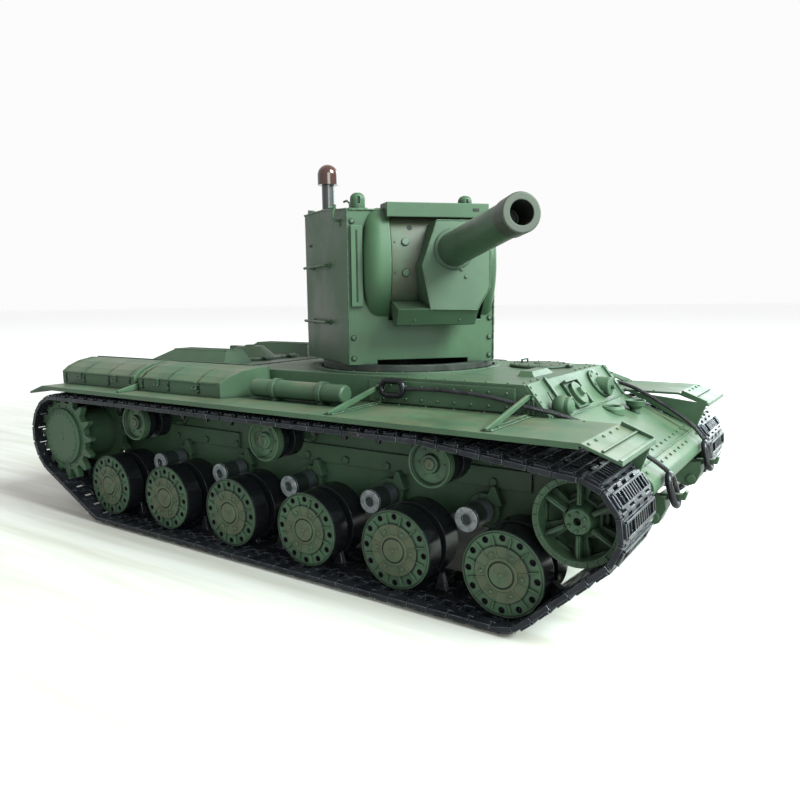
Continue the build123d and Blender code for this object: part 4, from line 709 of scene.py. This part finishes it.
def link_places():
    """Place and heading of every link's middle, from the rearmost point of the sprocket.

    A run is an arc round a wheel, or a straight with radius 0: X, Z, radius, heading, length."""
    runs = []
    incoming = -pi / 2
    for i, (x, z, r) in enumerate(CHAIN):
        after = CHAIN[(i + 1) % len(CHAIN)]
        reach = hypot(after[0] - x, after[1] - z)
        heading = atan2(after[1] - z, after[0] - x) - asin((after[2] - r) / reach)
        runs.append((x, z, r, incoming, (heading - incoming) % (2 * pi) * r))
        straight = sqrt(reach ** 2 - (after[2] - r) ** 2)
        runs.append((x + r * sin(heading), z - r * cos(heading), 0.0, heading, straight))
        incoming = heading
    runs.append((*CHAIN[0], incoming, (-pi / 2 - incoming) % (2 * pi) * CHAIN[0][2]))
    places = []
    for k in range(LINK_COUNT):
        left = k * LINK_PITCH
        for x, z, r, heading, length in runs:
            if left <= length:
                break
            left -= length
        if r:
            heading += left / r
            places.append((x + r * sin(heading), z - r * cos(heading), heading))
        else:
            places.append((x + left * cos(heading), z + left * sin(heading), heading))
    return places


def track_bars(bm):
    """Cast bars between the two cross ribs on the outside of each link, and the ends of its pins."""
    for x, z, heading in link_places():
        place = Matrix.Translation((x, TRACK_Y, z)) @ Matrix.Rotation(-heading, 4, "Y")
        for y in (0.0, 2.9, 5.8, 8.7, 17.4, 20.2):
            for side in ((-1, 1) if y else (1,)):
                bar(bm, place, (0, side * y, -1.6), (5.6, 0.9, 1.2))
        for side in (-1, 1):
            end = place @ Vector((PIN_X, side * PIN_END_Y, 0))
            spun(bm, facing(end, (0, side, 0)),
                 [(0, -1.4), (0.75, -1.4), (0.75, 2.3), (0.5, 2.6), (0, 2.6)], 8)


both("track_bars", "hull", TRACK, track_bars, 0.1)
both("sprocket_cover", "sprocket_right", SPROCKET_PAINT, sprocket_cover)
both("idler_cover", "idler_right", IDLER_PAINT, idler_cover)
for i, roller_x in enumerate(ROLLER_X):
    both(f"roller_cap_{i + 1}", f"roller_right_{i + 1}", ROLLER, roller_cap(roller_x))

# ---- hull fittings
BIN_ENDS = [(MID - 190.0, MID - 115.0), (MID - 109.0, MID - 42.0)]
BIN_OUTLINE = [(-60.5, 99.0), (-66.0, 99.4), (-76.0, 97.6), (-83.5, 94.6), (-87.5, 91.6), (-87.5, 84.4)]
BRACKET_X = [MID - 112.0, MID + 48.4, MID + 130.0]
FENDER_FALL = 0.347  # how steeply the fender's front falls, in radians


def bin_straps(bm):
    """Bent straps, lid edge, hinges and latches of the two bins on one fender."""
    for back in (187.0, 166.0, 140.0, 118.5, 106.0, 82.0, 56.0):
        x = MID - back
        ribbon(bm, BIN_OUTLINE, x - 1.1, x + 1.1, -0.55)
        for z in (86.2, 89.6):
            bolt(bm, (x, -87.9, z), RIGHTWARD, 0.5, 0.4)
    for x_from, x_to in BIN_ENDS:
        block(bm, ((x_from + x_to) / 2, -87.6, 91.0), (x_to - x_from, 0.7, 0.9))
        block(bm, ((x_from + x_to) / 2, -61.2, 99.3), (x_to - x_from, 1.2, 0.8))
        for share in (0.25, 0.75):
            x = x_from + (x_to - x_from) * share
            block(bm, (x, -87.9, 90.2), (3.4, 0.8, 3.6))
            rod(bm, [(x - 1.4, -88.6, 91.2), (x + 1.4, -88.6, 91.2)], 0.5)
            rod(bm, [(x - 1.6, -88.4, 88.6), (x - 1.6, -89.0, 87.4),
                     (x + 1.6, -89.0, 87.4), (x + 1.6, -88.4, 88.6)], 0.35)


def fender_rivets(bm):
    """Rivets along the fender's foot, and on the fold at its front."""
    for k in range(12):
        x = MID - 20.0 + 16.0 * k
        if all(abs(x - bracket) > 3 for bracket in BRACKET_X):
            bolt(bm, (x, -58.6, 83.2), UPWARD, 0.6, 0.45)
    slope = Vector((5.6, 0, 15.5)).normalized()
    for y in (-100.5, -92.0, -83.0, -74.0, -65.0):
        bolt(bm, (MID + 172.0, y, 82.5), slope, 0.7, 0.5)
    fall = Matrix.Rotation(FENDER_FALL, 4, "Y")
    block(bm, (MID + 177.9, -80.0, 80.75), (1.0, 45.0, 0.9), fall)
    block(bm, (MID + 184.6, -80.0, 78.1), (1.6, 46.5, 0.7), fall)


def bracket_bolts(bm):
    """Foot flanges of the fender brackets with their bolts."""
    for x in BRACKET_X:
        if x > MID:
            block(bm, (x, -80.0, 83.45), (5.0, 41.0, 0.5))
            for y in (-99.0, -92.0, -70.0, -64.0):
                for aside in (-1.7, 1.7):
                    bolt(bm, (x + aside, y, 83.65), UPWARD, 0.6, 0.5)
        block(bm, (x, -57.9, 88.4), (5.0, 0.5, 9.0))
        for z in (86.0, 91.0):
            for aside in (-1.7, 1.7):
                bolt(bm, (x + aside, -58.1, z), RIGHTWARD, 0.6, 0.5)


def hull_side(bm):
    """Bolts on the upper side strip, caps of the roller stubs and flanges round the arm pivots."""
    for k in range(9):
        x = MID + 45.5 + 9.2 * k
        if abs(x - BRACKET_X[1]) > 4:
            for z in (92.8, 86.4):
                bolt(bm, (x, -57.7, z), RIGHTWARD, 0.7, 0.6)
    for x in WHEEL_X:
        at = facing((x + ARM_PIVOT[0], -60.5, WHEEL_Z + ARM_PIVOT[1]), RIGHTWARD)
        bolt_ring(bm, at, 8, 7.1, 0, 0.55, 0.5, phase=0.5)
    for x in ROLLER_X:
        at = facing((x, -56.5, ROLLER_Z), RIGHTWARD)
        spun(bm, at, [(4.2, -0.2), (7.0, -0.2), (7.0, 0.8), (6.4, 1.2), (4.2, 1.2), (4.2, -0.2)], 28)
        bolt_ring(bm, at, 6, 5.7, 1.15, 0.55, 0.5)
        block(bm, (x, -62.0, ROLLER_Z + 4.6), (1.6, 11.0, 5.0))
    bolt_ring(bm, facing((SPROCKET[0], -65.0, SPROCKET[1]), RIGHTWARD), 12, 12.8, 0, 0.8, 0.6)
    for x in (IDLER[0] - 10.6, IDLER[0] + 10.6):
        for z in (IDLER[1] + 3.2, IDLER[1] - 3.2):
            bolt(bm, (x, -62.5, z), RIGHTWARD, 0.8, 0.6)


both("bin_straps", "hull", HULL, bin_straps, soften=0.12)
both("fender_rivets", "hull", HULL, fender_rivets)
both("bracket_flanges", "hull", HULL, bracket_bolts)
both("side_bolts", "hull", HULL, hull_side)

GLACIS_TOP = (MID + 140.0, 80.5)
GLACIS_FALL = (80.5 - 63.7) / 38.0


def glacis_z(x):
    return GLACIS_TOP[1] - (x - GLACIS_TOP[0]) * GLACIS_FALL


def hull_front(bm):
    """Bolts and weld beads on the glacis, nose and driver's plate."""
    slope = Vector((GLACIS_FALL, 0, 1)).normalized()
    nose = Vector((6.1, 0, 10.6)).normalized()
    for k in range(13):
        y = -51.0 + 8.5 * k
        bolt(bm, (MID + 174.6, y, glacis_z(MID + 174.6)), slope, 0.75, 0.6)
        if abs(abs(y) - 39) > 5:
            bolt(bm, (MID + 181.0, y, 62.0), nose, 0.75, 0.6)
    weld(bm, (MID + 178.0, -56.0, 63.7), (MID + 178.0, 56.0, 63.7), 0.6, 3)
    weld(bm, (MID + 140.2, -56.0, 80.4), (MID + 140.2, 56.0, 80.4), 0.55, 5)
    for side in (-1, 1):
        weld(bm, (MID + 141.0, side * 56.3, 80.1), (MID + 177.5, side * 56.3, 64.0), 0.5, 7 + side)
    plate = Vector((16.5, 0, 13.0)).normalized()
    for y in (-54.6, 54.6):
        for k in range(5):
            t = 0.12 + 0.19 * k
            bolt(bm, (MID + 127.0 + 13.0 * t + 0.9, y, ROOF_Z - 16.5 * t + 0.75), plate, 0.62, 0.5)
    for y in (-50.0, -42.0, -34.0, -26.0, 18.0, 26.0, 34.0, 42.0, 50.0):
        bolt(bm, (MID + 124.2, y, ROOF_Z), UPWARD, 0.7, 0.55)
    for y in (-54.0, 54.0):
        for k in range(6):
            bolt(bm, (MID + 118.0 - 11.0 * k, y, ROOF_Z), UPWARD, 0.65, 0.5)


ENGINE_HATCH_Z = 98.4
TURRET_RING_BOLTS = (24, 53.0, 98.2)  # count, radius and height of the bolts round the turret


def deck(bm):
    """Grilles over the air intakes, seams, hinges and bolts of the engine hatch and rear plates."""
    for side in (-1, 1):
        for k in range(12):
            block(bm, (MID - 126.0 + 4.0 * k, side * 38.0, 105.1), (1.0, 12.4, 0.7))
        for y in (31.6, 44.4):
            block(bm, (MID - 104.0, side * y, 105.15), (49.0, 1.2, 0.8))
        for x in (MID - 128.4, MID - 79.6):
            block(bm, (x, side * 38.0, 105.15), (1.2, 14.0, 0.8))
        for k in range(5):
            bolt(bm, (MID - 147.0 + 17.0 * k, side * 53.6, ROOF_Z), UPWARD, 0.7, 0.5)
    for k in range(7):
        for y in (-20.4, 20.4):
            bolt(bm, (MID - 136.0 + 9.3 * k, y, ENGINE_HATCH_Z), UPWARD, 0.7, 0.5)
    for k in range(4):
        for x in (MID - 137.4, MID - 78.6):
            bolt(bm, (x, -13.5 + 9.0 * k, ENGINE_HATCH_Z), UPWARD, 0.7, 0.5)
    for y in (-12.0, 12.0):
        block(bm, (MID - 77.4, y, 98.3), (5.0, 5.0, 1.4))
        rod(bm, [(MID - 76.6, y - 3.4, 99.1), (MID - 76.6, y + 3.4, 99.1)], 0.9)
    rod(bm, [(MID - 131.0, -4.0, 98.2), (MID - 131.0, -4.0, 100.6),
             (MID - 131.0, 4.0, 100.6), (MID - 131.0, 4.0, 98.2)], 0.55)
    spun(bm, Matrix.Translation((MID - 104.0, 0, 105.0)),
         [(0, -0.3), (4.0, -0.3), (4.0, 0.4), (3.2, 1.0), (0, 1.2)], 24)
    block(bm, (MID - 58.0, 0, 97.2), (1.6, 104.0, 0.6))
    block(bm, (MID - 150.0, 0, 97.1), (1.6, 108.0, 0.6))
    for k in range(12):
        bolt(bm, (MID - 55.4, -49.5 + 9.0 * k, ROOF_Z), UPWARD, 0.7, 0.5)
    count, radius, z = TURRET_RING_BOLTS
    for k in range(count):
        angle = 2 * pi * k / count
        bolt(bm, (TURRET_X + radius * cos(angle), radius * sin(angle), z), UPWARD, 0.55, 0.4)


def rear_plate(bm):
    """A row of bolts and two weld beads across the rear."""
    for k in range(10):
        y = -49.5 + 11.0 * k
        if abs(abs(y) - 38.4) > 6:
            bolt(bm, (MID - 194.75, y, 73.4), (-1, 0, 0.1), 0.8, 0.6)
    weld(bm, (MID - 195.0, -56.0, 76.0), (MID - 195.0, 56.0, 76.0), 0.5, 12)
    weld(bm, (MID - 193.0, -56.0, 56.0), (MID - 193.0, 56.0, 56.0), 0.5, 13)


piece("front_bolts", "hull", FRONT, hull_front)
piece("deck_fittings", "hull", FRONT, deck, soften=0.1)
piece("rear_bolts", "hull", HULL, rear_plate)

LAMP = (MID + 140.8, -45.0, 87.2)


def lamp_cover(bm):
    """The domed front of the headlight."""
    spun(bm, facing((LAMP[0] + 4.0, LAMP[1], LAMP[2]), FORWARD),
         [(0, -1.6), (3.4, -1.6), (3.5, 0.2), (2.6, 0.9), (1.3, 1.25), (0, 1.4)], 28)


def lamp_rim(bm):
    """The headlight's rim, and its wire up the driver's plate."""
    spun(bm, facing((LAMP[0] + 3.6, LAMP[1], LAMP[2]), FORWARD),
         [(3.3, -1.4), (4.3, -1.4), (4.4, 0.4), (3.9, 1.1), (3.4, 0.8), (3.3, -1.4)], 28)
    wire = ((-1.5, -0.5, -4.0), (-3.0, 1.0, -2.0), (-5.5, 2.5, 1.5), (-8.2, 3.0, 5.4))
    rod(bm, [Vector(LAMP) + Vector(point) for point in wire], 0.5)


piece("lamp_cover", "hull", FRONT, lamp_cover, soften=0)
piece("lamp_rim", "hull", FRONT, lamp_rim)


BOW_HATCH = Vector((MID + 98.5, 30.0, 98.8))


def hatch_bolts(bm):
    """Bolts round the bow hatch, and the boss in its middle."""
    for k in range(14):
        angle = 2 * pi * k / 14 + 0.2
        bolt(bm, BOW_HATCH + Vector((14.2 * cos(angle), 14.2 * sin(angle), 0)), UPWARD, 0.6, 0.45)
    spun(bm, Matrix.Translation(BOW_HATCH), [(0, -0.2), (3.2, -0.2), (3.2, 0.3), (2.6, 0.6), (0, 0.7)], 24)


piece("hull_hatch_bolts", "bow_hatch", DARK_HATCH, hatch_bolts)


# ---- turret fittings
FRONT_FALL = 0.1  # the roof's slope ahead of its break
REAR_FALL = 1.6 / 49.0  # and behind it
ROOF_BREAK = -5.0
ROOF_NORMAL = (FRONT_FALL, 0, 1)


def roof_z(x):
    """Height of the turret's roof, in the turret's frame."""
    if x > ROOF_BREAK:
        return 182.6 + (37.0 - x) * FRONT_FALL
    return 186.8 + (ROOF_BREAK - x) * REAR_FALL


WALL_CORNER = Vector((36.0, -40.5, 0))
WALL_AHEAD = Vector((-89.0, -16.5, 0)).normalized()
WALL_OUT = Vector((16.5, -89.0, 0)).normalized()


def on_wall(back, z, out=0.0):
    """A point on the right side wall, back from its front corner."""
    return WALL_CORNER + WALL_AHEAD * back + WALL_OUT * out + Vector((0, 0, z))


def flip(point):
    """The same point on the turret's left."""
    return Vector((point.x, -point.y, point.z))


WALL_TURN = Matrix.Rotation(atan2(WALL_AHEAD.y, WALL_AHEAD.x), 4, "Z")
HOODS = [(28.6, -33.4), (19.5, 29.0)]
RAIL_FEET = [(155.5, 0.0), (123.7, 1.0)]  # height of a rail, and how much further back it starts


def turret_trim(bm):
    """Weld beads down the corners and round the roof, hooks, wedge, lever and bolts."""
    for side in (-1, 1):
        weld(bm, (36.0, side * 40.4, 102.5), (36.0, side * 40.4, 182.4), 0.6, 20 + side)
        turn = (ROOF_BREAK, side * 48.0, roof_z(ROOF_BREAK))
        weld(bm, (35.6, side * 40.5, roof_z(35.6)), turn, 0.55, 24 + side)
        weld(bm, turn, (-42.0, side * 54.9, roof_z(-42)), 0.55, 28 + side)
    weld(bm, (ROOF_BREAK, -47.5, roof_z(ROOF_BREAK)), (ROOF_BREAK, 47.5, roof_z(ROOF_BREAK)), 0.5, 31)
    weld(bm, (36.2, -39.5, 182.5), (36.2, -20.5, 182.5), 0.5, 33)
    for mirrored in (False, True):
        place = flip if mirrored else Vector
        # lifting hook at the roof's front corner
        hook = ((178.0, -0.4), (178.0, 2.4), (179.6, 3.8), (182.0, 3.8), (184.4, 2.6), (186.2, 2.6))
        rod(bm, [place(on_wall(11.0, z, out)) for z, out in hook], 0.7)
        bolt(bm, place(on_wall(11.0, 176.0, 0)), place(WALL_OUT), 1.0, 0.7)
        for back in (24.0, 42.0, 60.0, 78.0):
            z = roof_z(36.0 - 0.983 * back)
            bolt(bm, place(on_wall(back, z + 0.1, -3.2)), (0.05, 0, 1), 0.75, 0.6)
        # plugs at the feet of the two rails
        for back in (31.0, 62.0):
            for z, further in RAIL_FEET:
                at = facing(place(on_wall(back + further, z)), place(WALL_OUT))
                spun(bm, at, [(0, -0.2), (1.7, -0.2), (1.7, 0.35), (1.3, 0.6), (0, 0.6)], 14)
    # wedge on the rear right roof corner
    wedge = on_wall(77.0, roof_z(-38) + 1.4, -4.5)
    block(bm, wedge, (9.0, 3.4, 3.0), WALL_TURN @ Matrix.Rotation(-0.22, 4, "Y"))
    # lever behind the right sight hood
    rod(bm, [(20.0, -36.0, roof_z(20)), (19.0, -36.0, roof_z(20) + 3.6),
             (14.0, -37.0, roof_z(14) + 5.0), (11.0, -38.0, roof_z(11) + 4.4)], 0.6)
    spun(bm, facing((20.2, -36.0, roof_z(20)), ROOF_NORMAL),
         [(0, -0.3), (1.7, -0.3), (1.7, 0.6), (1.2, 1.0), (0, 1.0)], 14)
    # seat rings of the two hoods
    for x, y in HOODS:
        spun(bm, facing((x, y, roof_z(x)), ROOF_NORMAL),
             [(3.9, -0.4), (5.6, -0.4), (5.6, 0.5), (5.2, 0.8), (3.9, 0.8), (3.9, -0.4)], 28)
        for k in range(6):
            a = 2 * pi * k / 6
            z = roof_z(x) + 0.7 - FRONT_FALL * 4.9 * cos(a)
            bolt(bm, (x + 4.9 * cos(a), y + 4.9 * sin(a), z), ROOF_NORMAL, 0.35, 0.35)
    # ventilator dome on the roof
    spun(bm, facing((10.0, -4.0, roof_z(10)), ROOF_NORMAL),
         [(0, -0.4), (8.2, -0.4), (8.2, 1.4), (7.4, 2.2), (5.0, 3.1), (2.4, 3.6), (0, 3.8)], 32)
    # receiver's wire loop
    loop = Vector((-29.0, -41.5, 190.6))
    angles = [k * pi / 8 for k in range(13)]
    rod(bm, [loop + Vector((4.6 * cos(a) + 1.0, 4.6 * sin(a) - 1.0, 1.2 * sin(a))) for a in angles], 0.4)


def plug(bm, place, radius, depth, proud, sides):
    """A flat disc let into a face."""
    spun(bm, place, [(0, -depth), (radius, -depth), (radius, proud), (0, proud)], sides)


def turret_shade_fills(bm):
    """Black fills painted as the shade in slits and sockets: the groove beside the cheek, the visor box's
    notch, the pistol ports, the hoods' windows (partly their dark glass) and the front plate's plugs."""
    block(bm, (38.0, -35.8, 153.5), (0.3, 0.9, 37.0))
    block(bm, (43.4, 27.5, 182.4), (0.5, 3.4, 1.5))
    for mirrored in (False, True):
        spot = on_wall(67.0, 168.7)
        if mirrored:
            block(bm, flip(spot), (5.6, 0.5, 1.5), WALL_TURN.inverted())
        else:
            block(bm, spot, (5.6, 0.5, 1.5), WALL_TURN)
    for x, y in HOODS:
        block(bm, (x + 3.75, y, roof_z(x) + 4.6), (0.5, 1.3, 3.2))
    for y, heights in ((38.0, (105.0, 115.0, 125.5, 133.0)), (-38.0, (105.0, 116.0, 176.5))):
        for z in heights:
            plug(bm, facing((36.0, y, z), FORWARD), 1.65, 0.3, 0.06, 18)


piece("turret_trim", "turret", TURRET_SHADED_PAINT, turret_trim, place=TURRET)
piece("turret_shade_fills", "turret", OPENING_SHADE_BLACK, turret_shade_fills, TURRET, soften=0)


def rear_door_trim(bm):
    """Bolts round the rear door, its lock and its handle."""
    for k in range(5):
        for y in (-14.6, 14.6):
            bolt(bm, (-55.15, y, 124.0 + 8.0 * k), BACKWARD, 0.7, 0.5)
    for y in (-7.0, 0.0, 7.0):
        for z in (122.6, 157.4):
            bolt(bm, (-52.95, y, z), BACKWARD, 0.7, 0.5)
    spun(bm, facing((-55.4, 6.0, 144.0), BACKWARD),
         [(0, -0.3), (1.3, -0.3), (1.3, 3.6), (1.0, 3.8), (0, 3.8)], 16)
    rod(bm, [(-53.0, -3.0, 130.0), (-55.4, -3.0, 130.4), (-55.4, 5.0, 130.4), (-53.0, 5.0, 130.0)], 0.55)


def roof_hatch_trim(bm):
    """Bolts round the roof hatch, the boss in its middle and its handle."""
    up = Vector((REAR_FALL, 0, 1)).normalized()
    seat = facing(Vector((-27.0, 20.0, roof_z(-27) + 1.75)), up)
    for k in range(12):
        angle = 2 * pi * k / 12
        bolt(bm, seat @ Vector((12.4 * cos(angle), 12.4 * sin(angle), 0)), up, 0.6, 0.45)
    spun(bm, seat, [(0, -0.3), (3.4, -0.3), (3.4, 0.6), (2.8, 1.0), (0, 1.1)], 24)
    handle = ((7.0, -3.6, -0.2), (7.0, -3.6, 1.9), (7.0, 3.6, 1.9), (7.0, 3.6, -0.2))
    rod(bm, [seat @ Vector(point) for point in handle], 0.5)


piece("rear_door_trim", "rear_door", TURRET_SHADED_PAINT, rear_door_trim, place=TURRET)
piece("roof_hatch_trim", "roof_hatch", TURRET_SHADED_PAINT, roof_hatch_trim, place=TURRET)


# ---- gun fittings
NOSE_X = 56.0
NOSE_FRONT = [(2.8, 171.1), (-5.3, 148.1), (-1.5, 126.2), (23.4, 125.6), (30.7, 137.4), (31.2, 156.2),
              (21.4, 171.1)]
MUZZLE_X = 133.6


def on_shield(angle, y, rise=0.0):
    """A point on the mantlet's curved face, and the direction out of it; angle in degrees above level."""
    out = Vector((cos(radians(angle)), 0, sin(radians(angle))))
    return Vector((TRUNNION[0], y, TRUNNION[1])) + out * (SHIELD_R + rise), out


def gun_trim(bm):
    """Weld beads round the nose's face, bolts beside the gun, and the collar at the barrel's root."""
    corners = [(NOSE_X, y, z) for y, z in NOSE_FRONT]
    for i, corner in enumerate(corners):
        weld(bm, corner, corners[(i + 1) % len(corners)], 0.35, 50 + i)
    for y, z in ((15.4, 146.2), (17.6, 142.4)):
        bolt(bm, (NOSE_X, y, z), FORWARD, 0.85, 0.6, 10)
    for y in (-9.0, 15.0):
        bolt(bm, (51.6, y, 120.8), (0.8, 0, -0.6), 0.6, 0.4, 10)
    spun(bm, facing((NOSE_X, *BORE), FORWARD),
         [(8.7, -0.2), (10.6, -0.2), (10.6, 0.5), (10.0, 1.0), (8.7, 1.0), (8.7, -0.2)], 40)
    for angle in (9.6, -11.9, -38.0, 27.0):
        for y in (-16.6, 30.6):
            at, out = on_shield(angle, y, -0.05)
            bolt(bm, at, out, 0.5, 0.4, 8)


def gun_shade_fills(bm):
    """Black fills painted as shade: the sight's opening, the black end of the bore, and the shield's plugs.
    """
    plug(bm, facing(*on_shield(20.6, -8.0)), 1.5, 0.4, 0.05, 16)
    plug(bm, facing((MUZZLE_X, *BORE), FORWARD), 2.9, 8.0, -1.0, 16)
    for angle in (9.6, -11.9, -38.0):
        plug(bm, facing(*on_shield(angle, -11.0)), 2.2, 0.4, 0.06, 20)


piece("gun_trim", "gun", MANTLET, gun_trim, place=GUN, soften=0.06)
piece("gun_shade_fills", "gun", OPENING_SHADE_BLACK, gun_shade_fills, GUN, soften=0)

# ---- floor and light
FLOOR_HALF = 14.0  # metres
FLOOR_DROP = 0.0004  # metres below the tracks
floor_mesh = bmesh.new()
bmesh.ops.create_grid(floor_mesh, x_segments=8, y_segments=8, size=FLOOR_HALF)
floor_data = bpy.data.meshes.new("floor")
floor_mesh.to_mesh(floor_data)
floor_mesh.free()
floor = bpy.data.objects.new("floor", floor_data)
floor.location.z = CAD_BOX[0][2] - FLOOR_DROP
bpy.context.scene.collection.objects.link(floor)
pale = Nodes("floor_pale")
grain = pale.noise(1.0, 4.0, 0.6, pale.stretched((4.0, 60.0, 1.0)))
reach = pale.make("ShaderNodeVectorMath", operation="LENGTH")
pale.put(reach.inputs[0], pale.place)
near_colour = pale.mix(pale.ramp(grain, 0.35, 0.7), (0.42, 0.41, 0.39), (0.34, 0.32, 0.29))
floor_colour = pale.mix(pale.ramp(reach.outputs["Value"], 0.35, 1.6), near_colour, (0.95, 0.95, 0.95))
floor_data.materials.append(pale.finish(floor_colour, 0.6, pale.bump(grain, 0.03, 0.3)))

world = bpy.data.worlds.new("studio")
bpy.context.scene.world = world
world.use_nodes = True
background = world.node_tree.nodes["Background"]
background.inputs["Color"].default_value = (1.0, 1.0, 1.0, 1.0)
background.inputs["Strength"].default_value = 0.97


def area_light(name, at, aim, size, power, colour):
    """A round lamp; places and size in metres, power in watts."""
    data = bpy.data.lights.new(name, "AREA")
    data.shape = "DISK"
    data.size = size
    data.energy = power
    data.color = colour
    light = bpy.data.objects.new(name, data)
    light.matrix_world = facing(at, Vector(at) - Vector(aim))
    bpy.context.scene.collection.objects.link(light)


area_light("key", (1.15, 0.0, 1.0), (0, 0, 0.08), 0.8, 88.0, (0.86, 1.0, 0.95))
area_light("sheen", (0.35, 1.7, 0.62), (0.1, 0, 0.08), 1.1, 20.0, (0.86, 1.0, 0.98))
area_light("fill", (1.3, -1.1, 0.55), (0.05, 0, 0.06), 0.9, 18.0, (0.84, 1.0, 0.92))
bpy.context.scene.view_settings.view_transform = "Standard"
